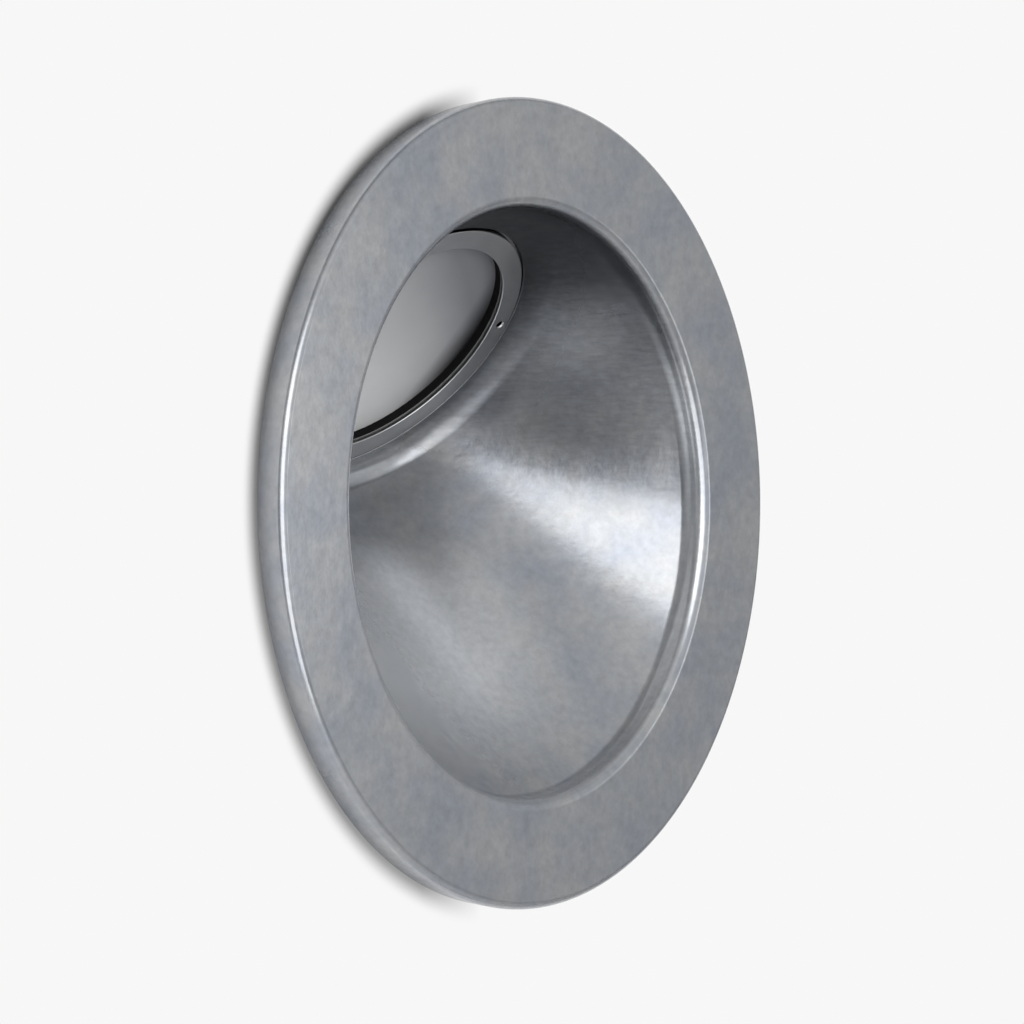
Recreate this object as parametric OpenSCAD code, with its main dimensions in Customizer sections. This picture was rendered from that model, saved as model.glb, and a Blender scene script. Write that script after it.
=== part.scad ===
// Recessed wall light: a round cast dish that sits over a can in the wall.
// The origin is the centre of the front plate's circle on the wall surface.
// The front faces -Y, up is +Z and the can runs into the wall along +Y.

/* [Front plate] */
// Diameter of the front plate
plate_d = 200; // [196:0.5:206]
// Distance from the wall surface to the front face
front_h = 8.2; // [7.6:0.1:9.4]
// Thickness of the front plate
plate_t = 4.6; // [4:0.1:5.4]
// Wall thickness of the plate's turned-back edge
skirt_t = 2.8; // [2.2:0.1:3.6]
// Gap left between that edge and the wall
shadow_gap = 0.8; // [0.4:0.1:1.4]
// Rounding of the plate's outer front edge
rim_round = 2; // [1:0.1:2.6]
// Width of the wall gasket's band
gasket_w = 7; // [5:0.1:8]
// Air between the gasket and the turned-back edge
gasket_gap = 0.3; // [0.1:0.05:0.6]

/* [Mouth and scoop] */
// Radius of the round mouth
mouth_r = 73.5; // [71:0.25:75]
// Rounding between the front face and the mouth
mouth_round = 3; // [2:0.1:3.6]
// Wall of the hub round the mouth
hub_t = 5; // [4.4:0.1:5.6]
// Depth of the hub behind the wall surface
hub_back = 3; // [2:0.1:4]
// Wall thickness of the scoop
scoop_t = 3.2; // [2.6:0.1:3.6]
// Radius of the round ledge that the scoop runs down to
ledge_r = 46; // [45:0.25:47]
// Rounding between the scoop and the ledge
ledge_round = 5; // [4:0.1:6]
// Wall thickness of the locating ring behind the plate
spigot_t = 3; // [2.4:0.1:3.4]
// Depth of the locating ring behind the wall surface
spigot_l = 14; // [12:0.5:16]

/* [Lamp place] */
// Angle of the lamp axis above the horizontal, measured inside the wall
tilt = 43; // [41:0.5:45]
// Depth of the lens ring's centre behind the wall surface
ring_back = 36.6; // [35.5:0.1:38]
// Height of the lens ring's centre above the dish's centre
ring_rise = 39; // [38:0.1:39.6]

/* [Lens ring] */
// Outer radius of the screwed lens ring
ring_r = 39.95; // [39:0.05:40.5]
// Inner radius of the lens ring
ring_inner_r = 34.3; // [33.5:0.1:34.8]
// Height of the ring's face above the ledge
ring_proud = 0.3; // [0:0.1:0.8]
// Length of the ring's threaded skirt behind the ledge
ring_skirt = 6.2; // [5.4:0.1:7]
// Thickness of the ring's lip over the glass
lip_t = 1.4; // [1.1:0.1:1.8]
// Width of the bevel inside the lip
lip_bevel = 1.1; // [0.7:0.1:1.2]
// Wall thickness of the threaded skirt
ring_wall = 3.35; // [2.9:0.05:3.6]
// Radius of the two spanner holes
pin_hole_r = 1; // [0.8:0.05:1.2]
// Depth of the two spanner holes
pin_hole_l = 2.5; // [2:0.1:4]
// Angle of the first spanner hole from the horizontal
pin_hole_angle = 15.5; // [0:0.5:90]
// Gap between the ring and the ledge's bore
ring_gap = 0.75; // [0.5:0.05:1]

/* [Glass and seals] */
// Thickness of the slip washer under the lip
slip_t = 0.3; // [0.2:0.05:0.5]
// Thickness of the front gasket
front_gasket_t = 2.2; // [1.8:0.1:2.8]
// Thickness of the glass
glass_t = 4; // [3:0.1:5]
// Thickness of the seal behind the glass
rear_seal_t = 1; // [0.8:0.1:1.6]
// Free gap between the glass and the ring's skirt
glass_gap = 0.3; // [0.2:0.05:0.5]

/* [Lamp barrel] */
// Wall of the barrel's front socket
socket_t = 3; // [2.6:0.1:3.4]
// Depth at which the barrel's front edge starts
barrel_start = 1.7; // [1.4:0.1:2]
// Depth of the front of the barrel's fixing collar
collar_at = 9; // [8.6:0.1:9.6]
// Thickness of the barrel's fixing collar
collar_t = 2.5; // [2:0.1:3]
// Width of the dish's socket wall round the barrel
seat_wall = 6; // [5.6:0.1:6.2]
// Radius of the light chamber
chamber_r = 33.5; // [32.5:0.1:33.8]
// Depth of the light chamber behind the glass seal
chamber_l = 9.9; // [9:0.1:10.5]
// Wall thickness of the chamber
chamber_t = 4; // [3.4:0.1:4.2]
// Thickness of the chamber floor
floor_t = 3.5; // [3:0.1:4]

/* [Light source] */
// Radius of the round light board
board_r = 32.3; // [31.5:0.1:32.4]
// Thickness of the light board
board_t = 1.3; // [1:0.1:1.6]
// Thickness of the thermal pad
pad_t = 0.3; // [0.2:0.05:0.5]
// Side of one square light chip
chip_w = 3.5; // [3:0.1:4]
// Height of one light chip
chip_h = 0.7; // [0.5:0.05:0.9]
// Chips in the outer row
chips_outer = 10; // [8:1:12]
// Chips in the inner row
chips_inner = 5; // [3:1:6]

/* [Heat sink] */
// Thickness of the heat sink's base
sink_base_t = 3; // [2.6:0.1:3.4]
// Number of fins, an even count
fin_count = 8; // [6:2:10]
// Thickness of one fin
fin_t = 2; // [1.6:0.1:2.4]
// Distance between fin centres
fin_pitch = 8.4; // [7.8:0.1:8.8]
// Radius of the can-shaped cut over the fins
fin_clear_r = 83; // [81:0.5:84]
// Distance from the can's back to the fins
fin_back_gap = 7; // [5:0.5:12]

/* [Wall can] */
// Outer radius of the can
can_r = 88; // [87:0.25:89]
// Wall thickness of the can
can_t = 1.8; // [1.4:0.1:2]
// Length of the can from the wall surface
can_l = 104; // [102:0.5:110]
// Width of the can's turned-in back edge
can_edge_w = 7; // [6:0.25:8]
// Thickness of the turned-in edge and of the back disc
back_t = 1.5; // [1.2:0.1:2]
// Free gap between the can and what slides in it
can_gap = 0.3; // [0.2:0.05:0.5]
// Rivets round the back disc
back_rivets = 6; // [4:1:8]
// Radius of the circle of wall screws
wall_screw_pcr = 70; // [66:0.5:72]
// Radius of a wall screw hole
wall_screw_r = 2.75; // [2.2:0.05:3.2]

/* [Cable entries] */
// Distance of each cable entry from the can's axis
entry_x = 60; // [58:0.5:61]
// Radius of the entry thread
entry_r = 10; // [9:0.1:10.5]
// Radius of the cable bore in the seal
cable_r = 4.5; // [3.5:0.1:5]
// Radius of the bore through the gland body
gland_bore_r = 7.2; // [6.8:0.1:7.6]
// Thickness of the gland's outer hexagon
gland_hex_t = 5; // [4:0.25:6]
// Distance across the gland hexagon's flats
gland_hex_w = 24; // [23:0.25:25]
// Length of the gland's clamping nut
gland_nut_l = 15; // [13:0.5:18]

/* [Driver and bracket] */
// Distance of the bracket plate behind the wall surface
bracket_y = 60; // [59:0.5:62]
// Thickness of the bracket plate
bracket_t = 1.5; // [1.2:0.1:2]
// Radius of the bracket plate's round edge
bracket_r = 84; // [83:0.25:84.5]
// Height of the bracket's straight top edge
bracket_top = -14; // [-16:0.5:-13]
// Height of the bracket's straight bottom edge
bracket_bottom = -74; // [-76:0.5:-72]
// Radius of one spacer post
post_r = 3.5; // [3:0.1:4]
// Radius of the circle that the spacer posts stand on
post_pcr = 77.9; // [77.5:0.1:78.1]
// Length of the driver
driver_l = 94; // [90:1:96]
// Width of the driver
driver_w = 42; // [38:0.5:43]
// Depth of the driver
driver_h = 24; // [20:0.5:26]
// Thickness of the driver's lid
driver_lid_t = 2; // [1.5:0.1:3]
// Height of the driver's lower edge
driver_low = -62; // [-63:0.5:-61]

/* [Terminal block] */
// Width of one terminal
pole_w = 7.6; // [7:0.1:8]
// Height of the terminal block
block_h = 17; // [15:0.5:18]
// Depth of the terminal block
block_d = 15; // [13:0.5:17]

/* [Spring arms] */
// Width of one arm's bracket
arm_bracket_w = 14; // [13:0.25:16]
// Sheet thickness of that bracket
arm_bracket_t = 1.2; // [1:0.05:1.4]
// Length of an arm from its pin to its nose
arm_l = 26; // [22:0.5:30]
// Width of an arm's blade
arm_w = 6; // [5:0.1:6.4]
// Thickness of an arm's blade
arm_t = 1.6; // [1.2:0.1:2]
// Radius of the nose that bears on the can
arm_nose_r = 2; // [1.6:0.1:2.2]
// Radius of an arm's pin
arm_pin_r = 1.2; // [1:0.05:1.4]
// Radius of the spring wire
arm_wire_r = 0.35; // [0.3:0.05:0.4]
// Turns of one arm's spring
arm_turns = 3; // [2:1:3]

/* [Leads] */
// Radius of the two-core lead to the light board
lead_r = 2; // [1.6:0.1:2.2]
// Radius of one single wire
wire_r = 1.2; // [1:0.1:1.4]

/* [Hidden] */
$fn = 96;
// Clearance of a screw or a shaft in its hole
fit_gap = 0.05;
// How far one cut runs past the face that it opens
past = 1;
// How deep a joined solid reaches into the one it grows from
bite = 0.4;
plate_r = plate_d/2;
plate_back = front_h - plate_t;
can_inner_r = can_r - can_t;
spigot_r = can_inner_r - can_gap;
ledge_bore_r = ring_r + ring_gap;
// The ledge is machined flat, a little proud of the cast rounding round it
ledge_flat_r = ledge_r - ledge_round*0.5;
ledge_proud = 0.2;
socket_r = ring_r + fit_gap + socket_t;
seat_r = socket_r + seat_wall;
glass_r = ring_r - ring_wall - glass_gap;
gasket_a = lip_t - ring_proud + slip_t;
glass_a = gasket_a + front_gasket_t;
seal_a = glass_a + glass_t;
shelf_a = seal_a + rear_seal_t;
floor_a = shelf_a + chamber_l;
board_a = floor_a - pad_t - board_t;
barrel_back_r = chamber_r + chamber_t;
sink_a = floor_a + floor_t;
fins_a = sink_a + sink_base_t;
back_y = can_l;

// Round seal in the barrel's outer groove
barrel_seal_t = 1.6;
barrel_seal_a = barrel_start + 3;

// Places of screws round the lamp axis
barrel_screw_r = socket_r + seat_wall/2;
barrel_screw_angles = [45, 135, 225, 315];
sink_screw_r = chamber_r - 6;
board_screw_r = board_r - 5.2;
board_screw_angles = [90, 210, 330];

// Sizes of the screws: shank radius, head radius and head height
m4_screw = [2, 3.8, 2.4];
m3_screw = [1.5, 2.8, 1.8];
m2_screw = [1.1, 2.1, 1.3];
m3_hold = 6;
rivet_r = 1.6;
rivet_head_r = 2.8;
rivet_head_h = 1;
head_gap = 0.4;

// Cable hole in the chamber wall
grommet_r = lead_r + 0.9;
grommet_lip = 1.2;
grommet_lip_t = 2;
grommet_a = collar_at + collar_t + grommet_r + grommet_lip + 0.3;
grommet_end = barrel_back_r + 0.3 + grommet_lip_t;
core_r = 0.6;
core_l = 3;

// Spacer posts and bracket
post_angles = [-17, -58, -122, -163];
post_l = bracket_y - hub_back;
tab_w = 18;
tab_top = -1;
// The driver's left edge, which the terminal block stands beside
driver_left = -44;
driver_x = driver_left + driver_l/2;
driver_z = driver_low + driver_w/2;
block_gap = 3;
ear_l = 7;
ear_w = 11;
ear_t = 3;
entry_depth = 2;
ear_left_z = driver_z - driver_w/2 + ear_w/2;
ear_right_z = driver_z + driver_w/2 - ear_w/2;
driver_y = bracket_y + bracket_t;
poles = 3;
block_x = driver_left - block_gap - poles*pole_w/2;
block_z = driver_z + driver_w/2 - block_h/2;
block_y = driver_y;
block_screw_off = block_h*0.27;
block_screw_l = block_d*0.35;
block_hole_r = wire_r + 0.4;
mains_y = block_y + block_d*0.4;
mains_edge = 8;
mains_pitch = 6;
light_entry_edge = 14;
light_entry_deep = 8;
light_entry_x = driver_x + driver_l/2 - light_entry_edge;
light_entry_y = driver_y + driver_h - light_entry_deep;
earth_x = block_x;
earth_z = -7;
earth_eye_t = 1;

// Spring arms: round the can, then radius and depth of their parts
arm_angles = [20, 160, 270];
arm_base_r = sqrt(pow(spigot_r - spigot_t, 2) - pow(arm_bracket_w/2, 2));
arm_nose_w = arm_bracket_w - 2*arm_bracket_t - 2*can_gap - 1;
arm_eye_r = arm_pin_r + 1.3;
arm_pin_at = [arm_base_r - arm_bracket_t - arm_eye_r, spigot_l + 6];
arm_nose_at = [
    sqrt(pow(can_inner_r - can_gap, 2) - pow(arm_nose_w/2, 2)) - arm_nose_r,
    arm_pin_at[1] + arm_l];
arm_lean = atan2(arm_nose_at[0] - arm_pin_at[0], arm_nose_at[1] - arm_pin_at[1]);
arm_coil_r = arm_pin_r + arm_wire_r + 0.3;
arm_rivet_z = spigot_l - 5;
arm_eye_y = -arm_bracket_w/2 + arm_bracket_t + can_gap;

// Cable gland and blanking plug
gland_washer_t = 1.5;
gland_thread_l = 9;
gland_collar_r = entry_r - 0.6;
gland_collar_l = 9;
gland_collar_at = gland_washer_t + gland_hex_t;
gland_locknut_t = 5;
gland_seal_sunk = 2;
gland_nut_hex_l = gland_nut_l*0.55;
plug_head_r = entry_r + 3;
plug_head_t = 2.5;
plug_grip = 3;

// The scoop's shell: steps round it, and along it
scoop_steps = 72;
scoop_rows = 4;
round_rows = 4;
scoop_embed = 0.8;
arc_steps = 6;

function lerp(a, b, t) = a + (b - a)*t;
function mouth_point(angle, r, h) = [r*cos(angle), -h, r*sin(angle)];
function lamp_point(angle, r, a) = [
    r*cos(angle),
    ring_back - r*sin(angle)*sin(tilt) + a*cos(tilt),
    ring_rise + r*sin(angle)*cos(tilt) + a*sin(tilt)];
function curve_point(a, b, c, t) = lerp(lerp(a, b, t), lerp(b, c, t), t);
function cubic_point(a, b, c, d, t) =
    lerp(curve_point(a, b, c, t), curve_point(b, c, d, t), t);

// Puts what is drawn in front of the XY plane in front of the wall
module on_wall() {
    rotate([90, 0, 0]) children();
}

// Puts what is drawn above the XY plane behind the wall, from a given depth
module in_wall(depth = 0) {
    translate([0, depth, 0]) rotate([-90, 0, 0]) children();
}

// Puts what is drawn above the XY plane on the lamp axis, behind the ledge
module on_lamp(depth = 0) {
    translate([0, ring_back, ring_rise])
        rotate([tilt - 90, 0, 0])
            translate([0, 0, depth]) children();
}

module tube(outer, inner, length) {
    difference() {
        cylinder(r = outer, h = length);
        translate([0, 0, -past]) cylinder(r = inner, h = length + 2*past);
    }
}

// A screw that stands on its head's underside, with its shank downwards
module screw(size, shank) {
    slot_w = size[0]*0.45;
    slot_l = size[1]*1.2;
    slot_h = size[2]*0.5;
    difference() {
        cylinder(r = size[1], h = size[2]);
        for (turn = [0, 90])
            rotate([0, 0, turn])
                translate([-slot_l/2, -slot_w/2, size[2] - slot_h])
                    cube([slot_l, slot_w, slot_h + past]);
    }
    translate([0, 0, -shank]) cylinder(r = size[0], h = shank);
}

module rivet(grip) {
    cylinder(r = rivet_head_r, h = rivet_head_h);
    translate([0, 0, -grip]) cylinder(r = rivet_r, h = grip);
    translate([0, 0, -grip - rivet_head_h]) cylinder(r = rivet_head_r, h = rivet_head_h);
}

// A round wire swept along a path, with flat ends. Up is any direction off the path.
module swept(path, radius, sides, up) {
    count = len(path);
    ahead = [for (i = [0 : count - 1]) path[min(i + 1, count - 1)] - path[max(i - 1, 0)]];
    points = [for (i = [0 : count - 1]) for (k = [0 : sides - 1])
        let (t = ahead[i]/norm(ahead[i]))
        let (side = up - t*(up*t))
        let (u = side/norm(side))
        let (v = cross(t, u))
        path[i] + radius*(cos(360*k/sides)*u + sin(360*k/sides)*v)];
    walls = [for (i = [0 : count - 2]) for (k = [0 : sides - 1])
        let (p = i*sides + k)
        let (q = i*sides + (k + 1) % sides)
        each [[p, q + sides, q], [p, p + sides, q + sides]]];
    first = [for (k = [0 : sides - 1]) k];
    last = [for (k = [sides - 1 : -1 : 0]) (count - 1)*sides + k];
    polyhedron(points = points, faces = concat(walls, [first, last]));
}

// A wire along a cubic curve
module wire(a, b, c, d, radius, rings = 14) {
    across = cross(b - a, d - c);
    up = norm(across) > 1 ? across/norm(across) : [0, 1, 0];
    swept([for (i = [0 : rings]) cubic_point(a, b, c, d, i/rings)], radius, 8, up);
}

// One line of points down the scoop at one angle: the inner face from the mouth
// to the ledge, then the outer face back to the mouth
function scoop_line(angle) =
    let (top = mouth_point(angle, mouth_r + scoop_embed, plate_back))
    let (corner = lamp_point(angle, ledge_r, 0))
    let (turn_in = corner + (top - corner)*min(0.5, ledge_round/norm(top - corner)))
    let (turn_out = lamp_point(angle, ledge_flat_r - bite, 0))
    let (outer_end = lamp_point(angle, seat_r + bite, scoop_t))
    let (outer_top = mouth_point(angle, mouth_r + scoop_embed + scoop_t, plate_back))
    concat(
        [for (j = [0 : scoop_rows - 1]) lerp(top, turn_in, j/scoop_rows)],
        [for (j = [0 : round_rows]) curve_point(turn_in, corner, turn_out, j/round_rows)],
        [lamp_point(angle, ledge_flat_r - bite, 1)],
        [for (j = [0 : scoop_rows]) lerp(outer_end, outer_top, j/scoop_rows)]);

module scoop_shell() {
    lines = [for (i = [0 : scoop_steps - 1]) scoop_line(360*(i + 0.5)/scoop_steps)];
    count = len(lines[0]);
    points = [for (line = lines) each line];
    faces = [for (i = [0 : scoop_steps - 1]) for (j = [0 : count - 1])
        let (a = i*count + j)
        let (b = i*count + (j + 1) % count)
        let (c = ((i + 1) % scoop_steps)*count + (j + 1) % count)
        let (d = ((i + 1) % scoop_steps)*count + j)
        each [[a, b, c], [a, c, d]]];
    polyhedron(points = points, faces = faces);
}

// Half section of the front plate: radius, and height in front of the wall
module plate_section() {
    turn = 90/arc_steps;
    rim_arc = [for (k = [0 : arc_steps]) [
        plate_r - rim_round + rim_round*cos(turn*k),
        front_h - rim_round + rim_round*sin(turn*k)]];
    mouth_arc = [for (k = [0 : arc_steps]) [
        mouth_r + mouth_round - mouth_round*sin(turn*k),
        front_h - mouth_round + mouth_round*cos(turn*k)]];
    polygon(concat(
        [[plate_r, shadow_gap]],
        rim_arc,
        mouth_arc,
        [[mouth_r, -hub_back], [mouth_r + hub_t, -hub_back], [mouth_r + hub_t, plate_back],
         [plate_r - skirt_t, plate_back], [plate_r - skirt_t, shadow_gap]]));
}

module dish() {
    color([0.58, 0.6, 0.63])
    difference() {
        union() {
            on_wall() rotate_extrude() plate_section();
            // Locating ring
            in_wall(-plate_back - past)
                tube(spigot_r, spigot_r - spigot_t, spigot_l + plate_back + past);
            // Pads for the spacer posts
            for (angle = post_angles)
                rotate([0, -angle, 0])
                    translate([post_pcr, 0, 0])
                        in_wall(-plate_back - past)
                            cylinder(r = post_r, h = hub_back + plate_back + past);
            scoop_shell();
            // Machined ledge and socket for the barrel
            on_lamp(-ledge_proud) tube(ledge_flat_r, ledge_bore_r, barrel_start + ledge_proud);
            on_lamp(barrel_start - bite) tube(seat_r, ledge_bore_r, bite);
            on_lamp(barrel_start) tube(seat_r, socket_r + fit_gap, collar_at - barrel_start);
        }
        on_lamp(barrel_start) cylinder(r = socket_r + fit_gap, h = collar_at);
        for (angle = barrel_screw_angles)
            on_lamp(collar_at - m3_hold)
                rotate([0, 0, angle]) translate([barrel_screw_r, 0, 0])
                    cylinder(r = m3_screw[0] + fit_gap, h = m3_hold + past);
        for (angle = post_angles)
            rotate([0, -angle, 0])
                translate([post_pcr, 0, 0])
                    in_wall(hub_back - m3_hold)
                        cylinder(r = m3_screw[0] + fit_gap, h = m3_hold + past);
        for (angle = arm_angles)
            arm_place(angle) arm_rivet_line(rivet_r + fit_gap);
    }
}

module wall_gasket() {
    outer_r = plate_r - skirt_t - gasket_gap;
    color([0.08, 0.08, 0.08])
    on_wall() tube(outer_r, outer_r - gasket_w, plate_back);
}

module lens_ring() {
    color([0.66, 0.67, 0.68])
    on_lamp() difference() {
        rotate_extrude() polygon([
            [ring_r, -ring_proud], [ring_r, ring_skirt],
            [ring_r - ring_wall, ring_skirt], [ring_r - ring_wall, lip_t - ring_proud],
            [ring_inner_r, lip_t - ring_proud], [ring_inner_r, lip_bevel - ring_proud],
            [ring_inner_r + lip_bevel, -ring_proud]]);
        for (turn = [0, 180])
            rotate([0, 0, turn - pin_hole_angle])
                translate([(ring_r + ring_inner_r)/2, 0, -ring_proud - past])
                    cylinder(r = pin_hole_r, h = pin_hole_l + past);
    }
}

module slip_washer() {
    color([0.85, 0.85, 0.82])
    on_lamp(lip_t - ring_proud) tube(glass_r, ring_inner_r + 0.1, slip_t);
}

module front_gasket() {
    color([0.05, 0.05, 0.05])
    on_lamp(gasket_a) tube(glass_r, ring_inner_r + 0.1, front_gasket_t);
}

module lens_glass() {
    color([0.8, 0.8, 0.78])
    on_lamp(glass_a) cylinder(r = glass_r, h = glass_t);
}

module rear_seal() {
    color([0.05, 0.05, 0.05])
    on_lamp(seal_a) tube(glass_r, chamber_r, rear_seal_t);
}

module lamp_barrel() {
    color([0.55, 0.57, 0.6])
    on_lamp() difference() {
        union() {
            translate([0, 0, barrel_start]) cylinder(r = socket_r, h = collar_at - barrel_start);
            translate([0, 0, collar_at]) cylinder(r = seat_r, h = collar_t);
            translate([0, 0, collar_at]) cylinder(r = barrel_back_r, h = sink_a - collar_at);
        }
        // Threaded front, light chamber, seal groove
        cylinder(r = ring_r + fit_gap, h = seal_a);
        translate([0, 0, seal_a - past]) cylinder(r = glass_r, h = rear_seal_t + past);
        translate([0, 0, shelf_a - past]) cylinder(r = chamber_r, h = chamber_l + past);
        translate([0, 0, barrel_seal_a])
            tube(socket_r + past, socket_r - barrel_seal_t, barrel_seal_t);
        for (angle = barrel_screw_angles)
            rotate([0, 0, angle]) translate([barrel_screw_r, 0, collar_at - past])
                cylinder(r = m3_screw[0] + fit_gap, h = collar_t + 2*past);
        for (angle = board_screw_angles)
            rotate([0, 0, angle]) translate([board_screw_r, 0, floor_a - past])
                cylinder(r = m2_screw[0] + fit_gap, h = floor_t - 0.5 + past);
        for (angle = barrel_screw_angles)
            rotate([0, 0, angle]) translate([sink_screw_r, 0, floor_a + 0.5])
                cylinder(r = m3_screw[0] + fit_gap, h = floor_t + past);
        translate([0, 0, grommet_a]) rotate([-90, 0, 0])
            cylinder(r = grommet_r, h = barrel_back_r + past);
    }
}

module barrel_seal() {
    color([0.05, 0.05, 0.05])
    on_lamp(barrel_seal_a) tube(socket_r + fit_gap, socket_r - barrel_seal_t, barrel_seal_t);
}

module barrel_screws() {
    color([0.7, 0.7, 0.72])
    for (angle = barrel_screw_angles)
        on_lamp(collar_at + collar_t)
            rotate([0, 0, angle]) translate([barrel_screw_r, 0, 0])
                screw(m3_screw, collar_t + m3_hold - 1);
}

// A thin reflecting cone, notched where the lead comes in
module reflector() {
    outer = chamber_r - 0.2;
    foot = board_r - 2.2;
    front_a = shelf_a + 0.2;
    color([0.95, 0.95, 0.95])
    on_lamp() difference() {
        rotate_extrude() polygon([
            [outer, front_a], [outer, board_a], [foot, board_a], [foot, board_a - 1],
            [outer - 0.6, front_a]]);
        translate([-lead_r - 0.5, foot - past, grommet_a - lead_r - 0.5])
            cube([2*lead_r + 1, chamber_r, lead_r + chamber_l]);
    }
}

module light_board() {
    color([0.92, 0.93, 0.9])
    on_lamp(board_a) difference() {
        cylinder(r = board_r, h = board_t);
        for (angle = board_screw_angles)
            rotate([0, 0, angle]) translate([board_screw_r, 0, -past])
                cylinder(r = m2_screw[0] + fit_gap, h = board_t + 2*past);
    }
}

module chip_row(count, radius) {
    for (k = [0 : count - 1])
        rotate([0, 0, 360*k/count]) translate([radius - chip_w/2, -chip_w/2, 0])
            cube([chip_w, chip_w, chip_h]);
}

module light_chips() {
    color([0.95, 0.85, 0.35])
    on_lamp(board_a - chip_h) {
        chip_row(chips_outer, board_r - 10);
        chip_row(chips_inner, board_r - 20);
    }
}

module board_screws() {
    color([0.7, 0.7, 0.72])
    for (angle = board_screw_angles)
        on_lamp(board_a) rotate([0, 0, angle]) translate([board_screw_r, 0, 0])
            rotate([180, 0, 0]) screw(m2_screw, board_t + pad_t + 2);
}

module thermal_pad() {
    color([0.6, 0.65, 0.75])
    on_lamp(floor_a - pad_t) difference() {
        cylinder(r = board_r, h = pad_t);
        for (angle = board_screw_angles)
            rotate([0, 0, angle]) translate([board_screw_r, 0, -past])
                cylinder(r = m2_screw[0] + fit_gap, h = pad_t + 2*past);
    }
}

module heat_sink() {
    span = fin_pitch*(fin_count - 1);
    color([0.2, 0.2, 0.21])
    difference() {
        union() {
            on_lamp(sink_a) cylinder(r = barrel_back_r, h = sink_base_t);
            intersection() {
                on_lamp(fins_a - 0.5)
                    for (k = [0 : fin_count - 1])
                        translate([k*fin_pitch - span/2 - fin_t/2, -barrel_back_r, 0])
                            cube([fin_t, 2*barrel_back_r, can_l]);
                on_lamp(fins_a - past) cylinder(r = barrel_back_r, h = can_l);
                in_wall() cylinder(r = fin_clear_r, h = back_y - fin_back_gap);
            }
        }
        for (angle = barrel_screw_angles)
            on_lamp(sink_a - past) rotate([0, 0, angle]) translate([sink_screw_r, 0, 0]) {
                cylinder(r = m3_screw[0] + fit_gap, h = sink_base_t + past + 1);
                translate([0, 0, sink_base_t + past])
                    cylinder(r = m3_screw[1] + head_gap, h = can_l);
            }
    }
}

module sink_screws() {
    color([0.7, 0.7, 0.72])
    for (angle = barrel_screw_angles)
        on_lamp(fins_a) rotate([0, 0, angle]) translate([sink_screw_r, 0, 0])
            screw(m3_screw, sink_base_t + floor_t - 1);
}

module grommet() {
    color([0.06, 0.06, 0.06])
    on_lamp(grommet_a) rotate([-90, 0, 0]) difference() {
        union() {
            translate([0, 0, chamber_r]) cylinder(r = grommet_r, h = chamber_t);
            translate([0, 0, barrel_back_r]) cylinder(r = grommet_r, h = bite);
            translate([0, 0, grommet_end - grommet_lip_t])
                cylinder(r = grommet_r + grommet_lip, h = grommet_lip_t);
        }
        cylinder(r = lead_r + fit_gap, h = grommet_end + past);
    }
}

// The two-core lead from the light board, through the grommet, to the driver
module light_lead() {
    bend = 26;
    sheath_r = board_r + 0.2;
    start = lamp_point(-90, grommet_end + 0.5, grommet_a);
    out = lamp_point(-90, grommet_end + bend, grommet_a);
    finish = [light_entry_x, light_entry_y, driver_z + driver_w/2 - entry_depth];
    color([0.9, 0.9, 0.9])
    union() {
        on_lamp() rotate([-90, 0, 0]) {
            translate([0, -grommet_a, sheath_r]) cylinder(r = lead_r, h = grommet_end + 1 - sheath_r);
            // Two bare cores that lie on the board
            for (side = [-1, 1])
                translate([1.5*core_r*side, -board_a + core_r, board_r - core_l])
                    cylinder(r = core_r, h = core_l + past);
        }
        wire(start, out, finish + [0, 0, bend], finish + [0, 0, 1], lead_r);
        translate(finish) cylinder(r = lead_r, h = entry_depth);
    }
}

module spacer_posts() {
    color([0.75, 0.75, 0.76])
    for (angle = post_angles)
        rotate([0, -angle, 0]) translate([post_pcr, 0, 0]) in_wall(hub_back) {
            difference() {
                cylinder(r = post_r, h = post_l, $fn = 6);
                translate([0, 0, post_l - m3_hold])
                    cylinder(r = m3_screw[0] + fit_gap, h = m3_hold + past);
            }
            translate([0, 0, -m3_hold + 1]) cylinder(r = m3_screw[0], h = m3_hold);
        }
}

module bracket_plate() {
    color([0.72, 0.73, 0.74])
    difference() {
        union() {
            intersection() {
                in_wall(bracket_y) cylinder(r = bracket_r, h = bracket_t);
                translate([-bracket_r, bracket_y, bracket_bottom])
                    cube([2*bracket_r, bracket_t, bracket_top - bracket_bottom]);
            }
            translate([earth_x - tab_w/2, bracket_y, bracket_top - past])
                cube([tab_w, bracket_t, tab_top - bracket_top + past]);
        }
        for (angle = post_angles)
            rotate([0, -angle, 0]) translate([post_pcr, 0, 0])
                in_wall(bracket_y - past) cylinder(r = m3_screw[0] + fit_gap, h = bracket_t + 2*past);
        for (hole = driver_holes())
            translate([hole[0], 0, hole[1]])
                in_wall(bracket_y - past) cylinder(r = m3_screw[0] + fit_gap, h = bracket_t + 2*past);
        translate([earth_x, 0, earth_z])
            in_wall(bracket_y - past) cylinder(r = m4_screw[0] + fit_gap, h = bracket_t + 2*past);
        translate([block_x, 0, block_z])
            in_wall(bracket_y - past) cylinder(r = m2_screw[0] + fit_gap, h = bracket_t + 2*past);
    }
}

function driver_holes() = [
    [driver_x - driver_l/2 - ear_l/2, ear_left_z],
    [driver_x + driver_l/2 + ear_l/2, ear_right_z]];

module bracket_screws() {
    color([0.7, 0.7, 0.72])
    for (angle = post_angles)
        rotate([0, -angle, 0]) translate([post_pcr, 0, 0])
            in_wall(bracket_y + bracket_t) screw(m3_screw, bracket_t + m3_hold - 1);
}

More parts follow.
